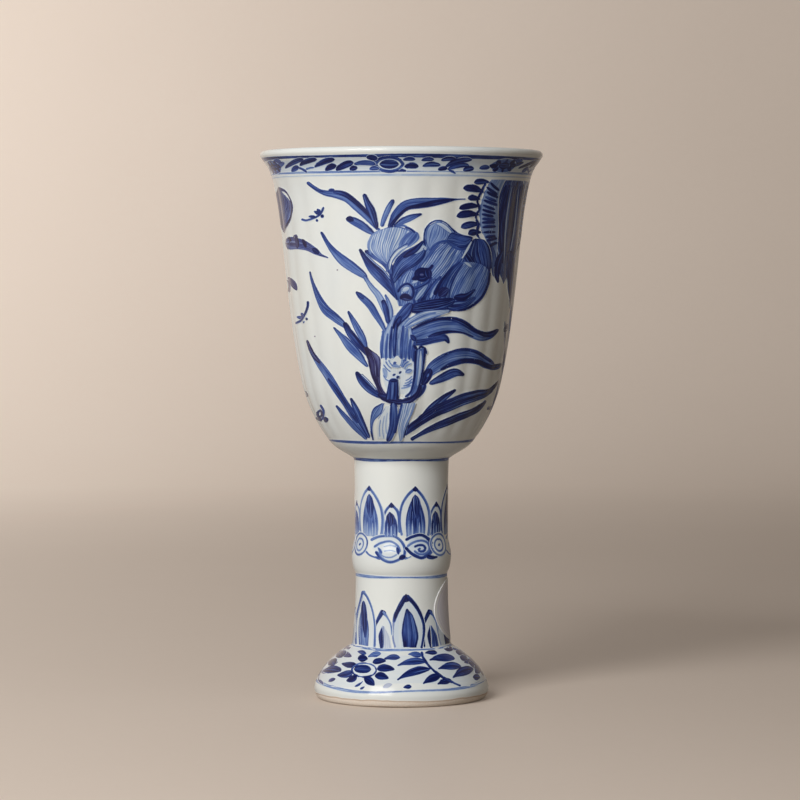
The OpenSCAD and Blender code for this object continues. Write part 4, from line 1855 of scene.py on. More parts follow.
    def lower_blossom(self) -> list[Stroke]:
        """The small blossom in its cup of sepals, and the stalks under it."""
        thin = [
            ((380, 437), (379.4, 428), (380.6, 419)), ((384, 439), (382.6, 428), (384.4, 415)),
            ((386.6, 434), (386, 424), (387.6, 412)), ((406, 434), (409, 420), (413.6, 405)),
            ((403.6, 438), (405, 424), (408.4, 406)),
        ]
        lines = [
            ((383, 364), (387, 369), (391, 372)), ((385.6, 361), (388.4, 365.4), (391.4, 368)),
            ((388.6, 359.6), (390.4, 363), (393, 366)), ((402, 358.6), (401.4, 363), (399.4, 366.6)),
            ((404.6, 359), (403, 363.6), (401, 367)), ((409, 361), (405, 364), (402.4, 368)),
            ((411.6, 363), (407, 365.6), (404.4, 369.4)), ((383, 374.6), (386, 379.4), (389.4, 381)),
            ((412.4, 375.6), (409, 379), (405, 380.8)), ((412.8, 378.4), (409, 382), (404, 383.6)),
            ((412.6, 381.4), (408, 384.8), (402.6, 386)), ((411.6, 385), (406, 387.6), (400.6, 388.4)),
        ]
        return [
            petal("bare arch of the small blossom", TINT, FLAT,
                ((389, 367), (391.4, 360.6), (395.4, 356.4)), ((403, 367), (402.6, 361), (399, 356.4)),
                (0, -1.2)),
            *[trail(f"line of the small blossom {i}", MID, 1.5, *line) for i, line in enumerate(lines)],
            dab("its shade on the left", WASH, (382.6, 367.6), (386.4, 378), 4.6, FLAT),
            dab("its shade on the right", MID, (405, 372.6), (412.6, 370), 5.0, FLAT),
            dab("its knot", DEEP, (393, 363.6), (396.8, 362.4), 3.4, FLAT),
            dab("dab under the knot", WASH, (391.4, 365.6), (400, 367), 3.6, FLAT),
            ribbon("side leaf", DEEP, LEAF, (355.6, 371.4, 3.4), (361, 379.5, 8), (368, 387, 9),
                (376, 393.6, 7), (385, 398, 4)),
            trail("its bare spine", FAINT, 1.5, (361, 374), (368.4, 381), (376, 390)),
            petal("left sepal", INK, Brush(outline=0.1, iron=0.42, hatch=0.3, first=-0.1, lean=0.1),
                ((384, 400), (378.6, 393), (373.4, 382), (370, 373), (368, 362), (363.6, 347.6)),
                ((388, 395), (384, 390), (381, 383), (380.4, 372), (380.2, 358), (368, 347.4)), (1, -1)),
            ribbon("its pale side", DEEP, Brush(iron=0.4), (371.4, 352, 2.4), (376.4, 357.6, 4.6),
                (377.8, 366, 4), (378.6, 377, 2)),
            petal("right sepal", MID, Brush(outline=0.2, hatch=0.6, last=0.2),
                ((408, 398), (413, 388), (414.4, 374), (414.6, 360), (416, 350)),
                ((411, 401), (419, 389), (422, 376), (424, 360), (425, 347))),
            ribbon("its bare line", PALE, FLAT, (420.6, 350, 1.6), (420.4, 360, 3.2), (419.4, 372, 3),
                (417, 386, 1.4)),
            trail("its inner edge", INK, 2.6, (415.6, 350), (415.2, 364), (414.4, 378), (411, 391),
                (405, 397)),
            trail("its outer edge", INK, 2.0, (425, 347), (423.6, 362), (421, 378), (417.6, 390)),
            ribbon("cup of the blossom", INK, Brush(outline=0.1, iron=0.12), (377.6, 394, 3),
                (385, 397.6, 6.4), (393, 400.6, 7), (403, 401.6, 6), (411, 399.4, 6), (417, 393.6, 4.4),
                (420.6, 385, 2.6)),
            petal("ovary", DEEP, Brush(outline=0.34, lean=-0.1), ((385.6, 399), (387, 389), (388.8, 380)),
                ((399, 399), (399.2, 389), (398.4, 380)), (0, -1.0)),
            dab("its head", INK, (389, 380.6), (398.4, 380.6), 4.0),
            dab("stamen 1", INK, (398.8, 374), (401.8, 371.2), 2.6),
            dab("stamen 2", INK, (392.4, 376), (396, 374), 2.6),
            dab("stamen 3", INK, (396.4, 378), (399.8, 376), 2.6),
            petal("base stalk 1", MID, Brush(outline=0.32, first=0.5),
                ((372, 440), (370, 429), (370, 418), (373, 408), (381, 403)),
                ((374.4, 440), (373.2, 429), (375, 420.6), (382, 413), (384.6, 403.4))),
            petal("pale wash of the base", FAINT, Brush(hatch=1.6), ((377, 439), (377, 422), (386, 406)),
                ((386, 439), (389, 422), (390, 406))),
            *[trail(f"thin line of the base {i}", WASH, 1.3, *line) for i, line in enumerate(thin)],
            petal("base stalk 2", WASH, Brush(outline=0.12, hatch=1.9),
                ((399, 440.4), (397.6, 427), (399.6, 414), (402, 403)),
                ((402, 440.4), (406, 427), (412, 414), (416, 403))),
            ribbon("base stalk 3", DEEP, Brush(outline=0.2, hatch=0.4, first=-0.15, last=0.25),
                (393.4, 402, 6.4), (393.8, 413, 8.4), (392.8, 427, 8), (389.6, 437, 6.4),
                (387.6, 441, 3.6)),
            trail("base stalk 4", DEEP, 2.2, (402.2, 403), (399.6, 413), (397.4, 421), (394.6, 433)),
        ]

    def right_leaves(self) -> list[Stroke]:
        """The broad leaves that sweep out on the right."""
        broad = Brush(outline=0.24, hatch=0.35, last=0.36, lean=0.1)
        return [
            ribbon("first right leaf's lower lobe", DEEP, broad, (413, 343.6, 5), (424, 341.6, 8),
                (436, 338.4, 9), (445, 338, 7.4), (449.6, 343.4, 2.4)),
            ribbon("first right leaf", MID, broad, (408, 338, 6), (416, 334.5, 13), (427, 330.5, 17),
                (441, 326.4, 16), (454.7, 325.6, 14), (464.6, 328, 13), (473, 333, 10.4), (481, 337, 8.4),
                (489.5, 336, 6.4), (499, 329.2, 2.4)),
            ribbon("its dark back", INK, PLAIN, (411, 330, 1.6), (424, 323.6, 2.4), (440, 318.8, 3),
                (455, 319.4, 5), (467, 325, 5.4), (477, 331.6, 4), (489, 334.4, 5.4), (498, 329.6, 2)),
            ribbon("its dark heart", INK, PLAIN, (428, 337, 2), (437, 334, 4), (449, 331.6, 3),
                (462, 332.6, 1.8), (474, 337, 1.6)),
            ribbon("second right leaf's lower lobe", DEEP, broad, (429, 384, 4), (443, 377.6, 9),
                (455, 372.6, 9), (465, 375, 2.6)),
            ribbon("second right leaf", MID, broad, (420, 384, 5), (428, 374, 9), (434, 367.4, 13),
                (444, 361.4, 15), (456, 357, 15), (468.8, 356, 15), (479.6, 359, 13), (488, 363.7, 11),
                (495, 367, 6.6), (502.4, 364, 2.4)),
            ribbon("its dark heart", INK, PLAIN, (440, 370, 2), (452, 364, 4.6), (466, 360.6, 5),
                (480, 362.4, 5), (491, 367, 4), (501, 364.6, 2)),
            ribbon("its dark back", DEEP, PLAIN, (444, 355, 1.6), (457, 350.4, 2.6), (470, 350, 3),
                (482, 355, 3.4), (491, 362, 2)),
            ribbon("its stalk", DEEP, PLAIN, (425.4, 383, 5), (421.6, 390.6, 7), (415.6, 398, 5)),
            ribbon("its curl at the root", INK, PLAIN, (430.6, 368.4, 4.6), (428.8, 372.6, 8.4),
                (425.6, 379, 8), (422.4, 385, 4)),
            dab("eye of the curl", MID, (428.8, 372.8), (426.6, 377.6), 2.6, FLAT),
            ribbon("blade above the third leaf", DEEP, BLADE, (420, 420, 4), (432, 408, 8),
                (444.6, 397.6, 6.4), (456, 389.4, 2.4)),
            ribbon("third right leaf", INK, Brush(outline=0.1, hatch=0.3, last=0.1), (404, 435.4, 2.6),
                (411, 428, 8), (420.6, 421, 9), (433, 412.8, 10.6), (448, 406, 11.6), (462.7, 399.6, 12),
                (478, 395, 10.6), (488, 392, 6.4), (493, 387.6, 3.2), (499, 380.7, 2)),
            ribbon("fourth right leaf", INK, PLAIN, (410.6, 439.8, 4), (418, 435.4, 4), (430, 429, 6),
                (445, 422.8, 7.8), (460, 416.6, 7.8), (474, 411, 6.4), (482, 405, 4.4), (486.4, 400.4, 2)),
            dab("touch beyond the fourth leaf", INK, (487, 409.6), (493, 406.6), 3.4),
            dab("touch beyond the first leaf", INK, (504.6, 333), (508.6, 323.6), 4.0),
        ]

    def insects(self) -> list[Stroke]:
        """Three small insects and a few stray touches on the left."""
        return [
            trail("first insect's body", DEEP, 2.6, (300.8, 219), (306, 220.4), (314.6, 217.7), (320, 214),
                (323.6, 206.5)),
            dab("first insect's wing", DEEP, (313.6, 211), (319, 214.6), 3.2),
            dab("first insect's second wing", DEEP, (317, 208.6), (319.4, 213.4), 3.2),
            dab("first insect's tail", DEEP, (308, 216.4), (316, 217.4), 2.8),
            dot("first insect's head", INK, (322, 216.3), 1.8),
            dot("first insect's foot", INK, (317, 220.6), 1.4),
            trail("second insect's feeler", DEEP, 2.4, (307.8, 300.7), (307.6, 307), (304.6, 315),
                (300.6, 320.4), (295.2, 323.6)),
            dab("second insect's wing", DEEP, (296.2, 316.9), (303, 318.6), 3.2),
            dab("second insect's second wing", DEEP, (300.3, 312.6), (303.6, 318.4), 3.0),
            dot("second insect's head", INK, (306.8, 319), 1.4),
            dot("second insect's foot", DEEP, (303.6, 322.2), 1.2),
            trail("third insect's feeler", DEEP, 2.4, (320, 404.4), (323.4, 410), (323.4, 415.4),
                (321.6, 420)),
            Loop("third insect's ring", INK, FLAT, (319.5, 413.6), (2.0, 3.0), 2.8),
            dab("third insect's wing", INK, (315.6, 417.6), (321.6, 421), 3.0),
            dot("third insect's head", INK, (325.8, 419.7), 2.8),
            dab("stray touch", INK, (304.8, 391), (306.6, 397), 3.0),
            dot("brown speck", INK, (337.4, 270), 0.9, IRON),
            dot("grey speck", DEEP, (314.4, 336.3), 0.8, IRON),
        ]

    def strokes(self) -> list[Stroke]:
        """The whole plant in painting order."""
        upper = [*self.top_leaves(), *self.left_leaves(), *self.blossom()]
        return [*upper, *self.right_leaves(), *self.trunk(), *self.lower_blossom(), *self.insects()]


@dataclass
class RoundBloom:
    """The round fringed bloom to the right of the plant, mirrored about its own middle."""

    middle: float = 61.0
    facing_x: float = 401.5
    bars: int = 15
    body: int = 11

    def fringe(self) -> list[Stroke]:
        """The short petals of the near half's fringe, the ring and its bars, as the front shows them."""
        touches = [
            ((473.6, 182.8), (490, 182.6), 6.6),
            ((462.8, 188.2), (484.6, 192.6), 8.0),
            ((467.2, 198.4), (481, 199.6), 6.4),
            ((459, 208.8), (481, 206.6), 6.8),
            ((456.4, 216.6), (480, 215), 7.6),
            ((460.6, 227.8), (481, 224.4), 7.4),
            ((467.6, 234.4), (482, 232.4), 7.0),
        ]
        made: list[Stroke] = [
            dab(f"fringe petal {i}", INK, *touch, PLAIN, 0.08, 0.38) for i, touch in enumerate(touches)
        ]
        made.append(petal("wash under the bars", WASH, FLAT,
            ((488, 246), (481, 228), (480, 210), (484, 194), (491, 179.6)),
            ((497, 260), (499, 230), (499, 210), (500, 194), (506, 179.6))))
        made.append(ribbon("shade under the ring", DEEP, Brush(hatch=0.5), (487, 241, 4), (491.6, 251, 7),
            (494, 264, 7), (495, 277, 4)))
        made.append(ribbon("ring inside the fringe", DEEP, PLAIN, (486, 183, 1.6), (481.6, 192, 2.2),
            (477.6, 201, 1.6), (480, 208.6, 2.4), (476, 216, 1.6), (478.6, 225, 2.6), (477.4, 234, 1.8),
            (484, 244, 2.2), (490, 252, 2)))
        hand = random.Random("bars")
        for i in range(self.bars):
            share = i / (self.bars - 1)
            y = mix(182, 246, share) + hand.uniform(-0.8, 0.8)
            outer = 481.6 + 30 * (share - 0.52) ** 2 + hand.uniform(-1, 1)
            rise = mix(-9.0, 4.0, share) + hand.uniform(-1, 1)
            inner = 495 + 8 * abs(share - 0.5) + hand.uniform(-1.5, 1.5)
            made.append(ribbon(f"bar {i}", INK, FLAT, (outer, y, 1.8),
                (mix(outer, inner, 0.4), y - rise * 0.5, 3.2), (inner, y - rise, 2.6)))
        return made

    def heart(self) -> list[Stroke]:
        """The dark body and the leaf that hangs under it, drawn as if they faced the camera."""
        x = self.facing_x
        made: list[Stroke] = [
            petal("ground of the body", DEEP, Brush(hatch=0.9),
                ((x - 1, 284), (x - 22, 262), (x - 35, 236), (x - 38, 208), (x - 35, 179)),
                ((x + 1, 284), (x + 22, 262), (x + 35, 236), (x + 38, 208), (x + 35, 179)), (0, -1)),
        ]
        hand = random.Random("body")
        for i in range(self.body):
            lean = mix(-31, 31, i / (self.body - 1))
            load = PALE if i % 3 == 1 else INK
            width = 3.4 if load is PALE else 7.0
            top, bottom = hand.uniform(178, 186), hand.uniform(252, 274)
            made.append(ribbon(f"streak of the body {i}", load, Brush(outline=0.05, hatch=0.5),
                (x + lean * 0.9, top, width * 0.5), (x + lean * 1.12, 206, width),
                (x + lean * 1.1, 230, width * 1.1), (x + lean * 0.5, bottom, width * 0.4)))
        made.append(ribbon("hanging leaf", INK, Brush(outline=0.1, hatch=0.5), (x + 6, 250, 8),
            (x + 15, 266, 20), (x + 22, 284, 24), (x + 25, 298, 16), (x + 24, 309, 4)))
        made.append(ribbon("its pair", INK, Brush(outline=0.1, hatch=0.5), (x - 8, 250, 6),
            (x - 14, 262, 11), (x - 15, 274, 9), (x - 11, 283, 3)))
        return made


@dataclass
class SideSpray:
    """The striped shell and the leaves at the left edge of the front, and the stalk that bears them."""

    shell_turn: float = -70.0
    stalk_turn: float = -91.0

    def leaves(self) -> list[Stroke]:
        """The leaves, as the front shows them."""
        return [
            ribbon("side leaf", DEEP, Brush(outline=0.2, iron=0.2, hatch=0.5), (285, 243.4, 12),
                (291, 243.2, 13), (299.5, 244, 11), (308, 247, 8.4), (316, 251.6, 6.4), (321, 255, 3),
                (328.4, 258, 1.4)),
            dab("its bump", DEEP, (294.6, 239.6), (297, 234.4), 4.6, VIOLET),
            dab("its first bar", INK, (289, 236.6), (288, 249.6), 3.6, VIOLET),
            dab("its second bar", INK, (295.6, 236), (297.4, 248.6), 3.6, VIOLET),
            dab("its third bar", INK, (302, 239), (305.6, 248), 3.2, VIOLET),
            dab("its dark tip", INK, (312, 248.6), (319, 254), 5.0),
            dab("small side leaf", DEEP, (287.4, 277), (296.4, 290.6), 5.4, VIOLET),
            dab("its pair", DEEP, (287, 280), (287.6, 294), 3.6, VIOLET),
        ]

    def shell(self) -> list[Stroke]:
        """The striped shell, drawn as if it faced the camera."""
        return [
            petal("striped shell", INK, Brush(outline=0.3, hatch=1.2, iron=0.12, lean=0.2),
                ((384, 231), (371, 222), (364, 208), (367, 194), (386, 186)),
                ((387, 231), (404, 223), (417, 213), (423, 202), (396, 186)), (5, -2)),
            trail("shell's dark edge", INK, 3.2, (398, 185.6), (413, 190), (423, 201), (418, 213),
                (405, 223), (387, 231), brush=Brush(iron=0.25)),
        ]

    def stalk(self) -> list[Stroke]:
        """The stalk and its leaves, drawn as if they faced the camera."""
        stem = Brush(outline=0.2, iron=0.3, hatch=0.4)
        return [
            ribbon("stalk", DEEP, stem, (402, 228, 4), (404, 250, 7), (403, 280, 6), (400, 310, 6),
                (402, 345, 7), (399, 380, 6), (401, 438, 5)),
            ribbon("its left leaf", MID, LEAF, (366, 292, 2), (378, 312, 9), (391, 340, 10), (399, 372, 3)),
            ribbon("its left blade", DEEP, LEAF, (360, 322, 2), (372, 344, 7), (386, 368, 8),
                (398, 398, 3)),
            ribbon("its low leaf", DEEP, LEAF, (372, 372, 2), (381, 392, 7), (391, 414, 7), (399, 437, 3)),
            ribbon("its low blade", MID, LEAF, (384, 396, 2), (390, 412, 5), (400, 438, 3)),
        ]


@dataclass
class BowlPainting:
    """Everything painted on the bowl's wall below the border."""

    base_line: float = 83.4
    base_width: float = 1.0
    opposite: float = 180.0
    bloom: RoundBloom = field(default_factory=RoundBloom)
    spray: SideSpray = field(default_factory=SideSpray)

    def build(self, easel: Easel) -> list[bpy.types.Object]:
        """Paints the front and the back of the bowl.

        Args:
            easel: its surface, camera and finish.
        Returns:
            The pieces.
        """
        bloom, spray = self.bloom, self.spray
        plant = easel.sheet(FloweringPlant().strokes(), 5)
        heart = easel.sheet(bloom.heart(), 1)
        fringe = easel.sheet(bloom.fringe(), 3)
        stalk = easel.sheet(spray.stalk(), 1)
        shell = easel.sheet(spray.shell(), 3)
        leaves = easel.sheet(spray.leaves(), 5)
        made = []
        for name, turn in (("front", 0.0), ("back", self.opposite)):
            sides = Painting(f"painted_{name}_side_flowers")
            sides.lay(heart, [Turn(bloom.middle + turn)])
            sides.lay(fringe, [Turn(turn), Turn(turn, bloom.middle)])
            sides.lay(stalk, [Turn(spray.stalk_turn + turn)])
            sides.lay(shell, [Turn(spray.shell_turn + turn)])
            sides.lay(leaves, [Turn(turn)])
            made.append(sides.finish(easel.cobalt))
            painting = Painting(f"painted_{name}_plant")
            painting.lay(plant, [Turn(turn)])
            made.append(painting.finish(easel.cobalt))
        line = Painting("painted_bowl_base_line")
        hoop = Hoop("line round the bowl's base", MID, PLAIN, self.base_line, self.base_width)
        line.lay(easel.sheet([hoop]))
        made.append(line.finish(easel.cobalt))
        return made


@dataclass
class StemPainting:
    """The bands of pointed petals on the stem and the scroll round the knop."""

    upper_line: float = 77.4
    lower_line: float = 39.95
    line_width: float = 1.12
    base_line: float = 17.1
    ring_turn: float = -59.5
    weights: tuple[float, ...] = (1.0, 1.05, 0.88, 0.97, 1.04, 0.82)
    scroll_pitch: float = 111.0
    scroll_count: int = 3

    def upper_lappets(self) -> list[Stroke]:
        """One tall and one short pointed petal above the knop."""
        line = Brush(first=0.3)
        shade = Brush(hatch=1.0, last=-0.2)
        made: list[Stroke] = [
            petal("tint of the tall upper petal", TINT, FLAT,
                ((401, 536), (400, 516.6), (408, 495), (415, 488)),
                ((428, 536), (429, 518), (422.6, 496), (416, 488))),
            petal("tint of the short upper petal", TINT, FLAT, ((384, 536), (384, 516), (391, 505)),
                ((399, 536), (398, 516), (392, 505))),
            ribbon("tall upper petal's left side", MID, line, (415.4, 488, 3.4), (408, 495, 3.2),
                (402, 505, 3), (399.8, 516.6, 3), (400, 526, 3), (402, 536, 2.8)),
            ribbon("tall upper petal's right side", MID, line, (415.2, 488, 3.4), (422.6, 496.4, 3.2),
                (427.8, 507, 3), (429.6, 518.4, 3.2), (429, 530, 3), (428, 536, 2.8)),
            dab("tall upper petal's tip", INK, (415.3, 486), (415.3, 491.8), 6.4, PLAIN, 0.0, 0.72),
            petal("tall upper petal's heart", DEEP, HEART,
                ((406, 537), (405.4, 520), (408.6, 506), (414.2, 494.6)),
                ((425.2, 537), (425.6, 520), (421.6, 505), (416, 494.6))),
            dab("tall upper petal's dark heart", INK, (415.2, 495), (417, 519), 9.0, shade, 0.0, 0.42),
            ribbon("short upper petal's left side", MID, line, (391.6, 504.6, 3.4), (387, 509, 3),
                (383.8, 516, 2.8), (383, 526, 2.6), (384, 536, 2.6)),
            ribbon("short upper petal's right side", MID, line, (391.2, 504.6, 3.4), (395.8, 509, 3),
                (398.6, 515, 2.8), (399.4, 524, 2.6), (399.4, 533, 2.4)),
            dab("short upper petal's tip", INK, (391.4, 502.2), (391.4, 508), 6.2, PLAIN, 0.0, 0.72),
            petal("short upper petal's heart", DEEP, HEART, ((384.8, 537), (384.8, 523), (388.4, 512.6)),
                ((398, 537), (397, 521), (391.2, 512.6)), (0, -1)),
            dab("short upper petal's dark heart", INK, (389.8, 512.4), (391.4, 526), 8.4, shade, 0.0, 0.45),
        ]
        streaks = [
            (408.8, 516, 1.6), (412.4, 519, 1.8), (419.4, 521, 1.8), (422.6, 518, 1.4),
            (387.6, 522, 1.4), (391.4, 525, 1.6), (395, 524, 1.2),
        ]
        for x, top, width in streaks:
            made.append(ribbon("pale streak in a heart", PALE, FLAT, (x, top, 0.4), (x, 528, width),
                (x, 537, width)))
        return made

    def tall_lappet(self) -> list[Stroke]:
        """The dark tall petal below the knop."""
        return [
            petal("tint of the tall lower petal", FAINT, FLAT,
                ((395, 648), (393.6, 625), (399, 609), (405.6, 597)),
                ((421, 648), (423, 628), (415, 606), (406.4, 597))),
            ribbon("tall lower petal's pale left side", WASH, Brush(iron=0.2), (397, 613, 3),
                (393.4, 624, 2.8), (393, 638, 2.4), (395.4, 648, 2.4)),
            ribbon("tall lower petal's left side", INK, Brush(last=-0.4), (406.2, 595, 4.6),
                (402.4, 602, 5.2), (398.8, 608.6, 5), (395.6, 615.6, 4), (393.6, 623, 2.4)),
            ribbon("tall lower petal's right side", INK, FLAT, (405.8, 595.4, 5), (413.2, 602.6, 4.4),
                (419, 611.4, 3.8), (422.8, 621, 3.2), (424, 630, 2.8), (422.8, 640.6, 2.6),
                (421.2, 648.6, 2.4)),
            dab("tall lower petal's tip", INK, (406, 593.8), (406, 602.4), 8.4, PLAIN, 0.0, 0.9),
            petal("tall lower petal's heart", DEEP, Brush(outline=0.34, hatch=0.35, last=0.4, first=0.25),
                ((403, 647.6), (401.2, 632), (403.2, 618.6), (405.4, 610)),
                ((416.6, 647.6), (418.8, 635), (414, 617), (408.6, 610)), (0, -1.6)),
        ]

    def thin_lappet(self) -> list[Stroke]:
        """The tall petal at the left, with a thin outline and a dark streak in its heart."""
        return [
            petal("tint of the thin petal", TINT, FLAT,
                ((357, 647), (356.4, 629), (358.4, 613), (362.4, 594)),
                ((373.6, 648), (374, 632), (371, 610), (363.6, 594))),
            ribbon("thin petal's left side", MID, FLAT, (363, 590.6, 2.4), (360.6, 601, 2.2),
                (358, 611, 2), (356.2, 621, 1.8), (355.8, 632, 1.8), (356.2, 645, 1.8)),
            ribbon("thin petal's right side", MID, FLAT, (363, 590.8, 2.4), (367.7, 597.8, 2.4),
                (372, 608.5, 2.2), (374.3, 620, 2.2), (375, 632, 2.4), (374.6, 649, 3)),
            petal("thin petal's heart", MID, Brush(outline=0.2, hatch=1.0),
                ((358.8, 646), (358.4, 629), (359.6, 617), (363, 602)),
                ((368.6, 646), (369.2, 630), (367.6, 617), (364, 602))),
            dab("dark streak of the thin petal", INK, (363.6, 600.4), (365.4, 638), 5.6,
                Brush(hatch=0.6, last=-0.3), 0.0, 0.4),
            trail("thin petal's foot", DEEP, 2.0, (358.6, 646.4), (363, 647.4), (368.4, 647.6)),
        ]

    def short_lappet(self) -> list[Stroke]:
        """The short petal between two tall ones below the knop."""
        return [
            petal("tint of the short lower petal", TINT, FLAT, ((376, 648), (376, 626), (382.6, 612)),
                ((391.6, 648), (390.6, 626), (383.4, 612))),
            ribbon("short lower petal's left side", INK, FLAT, (383.4, 610, 4.4), (380.6, 615, 4.6),
                (377.4, 621, 3.2), (375.2, 628, 2.2), (374.8, 648, 2)),
            ribbon("short lower petal's right side", MID, Brush(last=-0.4), (382.8, 611, 3.6),
                (387, 617, 2.4), (390.8, 624.6, 2.1), (392, 636, 2)),
            petal("short lower petal's heart", INK, PLAIN, ((380, 649.6), (378.2, 636), (382, 625.6)),
                ((383.4, 649.6), (383.6, 637), (382.8, 625.6))),
            petal("short lower petal's pale half", PALE,
                Brush(outline=0.05, hatch=1.2, iron=0.25, last=0.5),
                ((383, 648), (383.4, 637), (383, 626)), ((392, 648), (390, 637), (384, 626))),
        ]

    def oval(self) -> list[Stroke]:
        """The broad oval of the scroll."""
        return [
            petal("tint of the oval", TINT, FLAT, ((372, 548), (380, 538), (392, 536), (404, 547)),
                ((374, 550), (382, 559), (393, 562), (405, 551))),
            trail("oval's lid", MID, 2.8, (373.6, 547.4), (381, 543), (390.4, 541.4), (397.6, 545.8),
                (400.6, 552.4)),
            trail("oval's under lid", WASH, 2.2, (378.4, 551.4), (383.4, 556.4), (391, 557.4),
                (397.6, 554)),
            trail("oval's inner line", WASH, 1.6, (383, 547), (390, 545.6), (396.4, 547)),
            trail("oval's second inner line", WASH, 1.6, (383, 551.4), (389.6, 550.4), (396, 551.6)),
            trail("oval", MID, 3.3, (370.4, 540.4), (377, 537.2), (384, 535.9), (394.6, 536.4),
                (402, 542.4), (405, 550), (402.4, 557.4), (391, 562.2), (381.4, 558.6), (375.4, 551),
                brush=Brush(last=0.3)),
            dab("its corner", DEEP, (396.6, 547), (398.4, 555), 3.4),
            dab("its other corner", MID, (377.6, 547.4), (382, 554), 3.0),
            trail("link before the oval", MID, 2.2, (365.6, 550.6), (369, 554.6), (374, 557),
                (381.4, 558.8)),
            dab("link after the oval", INK, (398.8, 559.4), (406, 556), 5.0),
            trail("tail of the link", WASH, 1.8, (404, 558.6), (408, 558), (412, 556)),
        ]

    def eye(self) -> list[Stroke]:
        """The pointed eye of the scroll."""
        return [
            petal("tint of the eye", FAINT, FLAT, ((406, 546.6), (412, 537.4), (421, 535.4), (431, 545)),
                ((406, 548), (413, 554), (421, 557.6), (432, 548))),
            trail("eye's lid", MID, 2.9, (406.6, 547), (413.4, 542.4), (421.4, 540.6), (427.8, 543.2),
                (429.4, 549.4), (425, 553.6), (419, 554), (413.6, 550.4)),
            trail("eye's curl", DEEP, 2.8, (413.6, 547.4), (418.4, 545.4), (423.4, 545.6), (425, 549),
                (422, 551.4), (418.6, 549.8), (421, 548)),
            trail("eye", DEEP, 3.4, (405, 540.4), (412, 536.8), (421.4, 535), (429, 539.6), (432.4, 546.2),
                (431, 552), (426.2, 556.2), (420.6, 558), (412, 554), (404.6, 547),
                brush=Brush(first=0.2, last=0.3)),
            ribbon("link after the eye", INK, PLAIN, (426.6, 556, 3.4), (431.6, 557.6, 4), (438, 556.6, 2)),
        ]

    def ring(self) -> list[Stroke]:
        """The round curl between an eye and an oval, drawn as if it faced the camera."""
        x, y = 401.5, 546.0
        return [
            petal("tint of the ring", TINT, FLAT, ((x - 1, y + 10), (x - 11, y), (x - 1, y - 10)),
                ((x + 1, y + 10), (x + 11, y), (x + 1, y - 10))),
            Loop("inner ring", MID, FLAT, (x - 0.4, y + 0.4), (6.4, 6.2), 3.2),
            dab("dot in the ring", MID, (x - 2.6, y + 1.4), (x + 2.4, y - 0.4), 3.4, FLAT),
            Loop("outer ring", MID, FLAT, (x, y), (11.8, 10.9), 3.2),
        ]

    def painted_shade_heart(self) -> list[Stroke]:
        """The short petal's heart beside the label, darkened as painted shade."""
        return [
            petal("dark half of the shaded heart", DEEP, Brush(hatch=0.7, first=-0.2),
                ((382, 648), (382.6, 637), (382.6, 626)), ((392, 648), (390.4, 636), (384.4, 626))),
        ]

    def build(self, easel: Easel) -> list[bpy.types.Object]:
        """Paints the stem.

        Args:
            easel: its surface, camera and finish.
        Returns:
            The pieces.
        """
        step = 360 / len(self.weights)
        turns = [Turn(step * i, strength=weight) for i, weight in enumerate(self.weights)]
        upper = Painting("painted_upper_stem")
        upper.lay(easel.sheet([
            Hoop("line under the bowl", MID, PLAIN, self.upper_line, self.line_width, 0.08)
        ]))
        upper.lay(easel.sheet(self.upper_lappets()), turns)
        knop = Painting("painted_knop_scroll")
        repeats = [self.scroll_pitch * i for i in range(self.scroll_count + 1)]
        knop.lay(easel.sheet(self.oval(), 1), [Turn(angle) for angle in repeats[:-1]])
        knop.lay(easel.sheet(self.eye(), 3), [Turn(angle) for angle in repeats[:-1]])
        knop.lay(easel.sheet(self.ring(), 5), [Turn(angle + self.ring_turn) for angle in repeats])
        lower = Painting("painted_lower_stem")
        for height, width, layer in ((self.lower_line, self.line_width, 0), (self.base_line, 0.8, 4)):
            line = Hoop("line on the lower stem", WASH, PLAIN, height, width, 0.1)
            lower.lay(easel.sheet([line], layer))
        lower.lay(easel.sheet(self.tall_lappet(), 1), [*turns[:3], turns[4]])
        lower.lay(easel.sheet(self.thin_lappet(), 1), [Turn(), Turn(4 * step)])
        lower.lay(easel.sheet(self.short_lappet(), 1), turns)
        # Painted shade: the short petal at 60 degrees, beside the label, gets an extra dark half in its
        # heart.
        lower.lay(easel.sheet(self.painted_shade_heart(), 5), turns[1:2])
        return [painting.finish(easel.cobalt) for painting in (upper, knop, lower)]


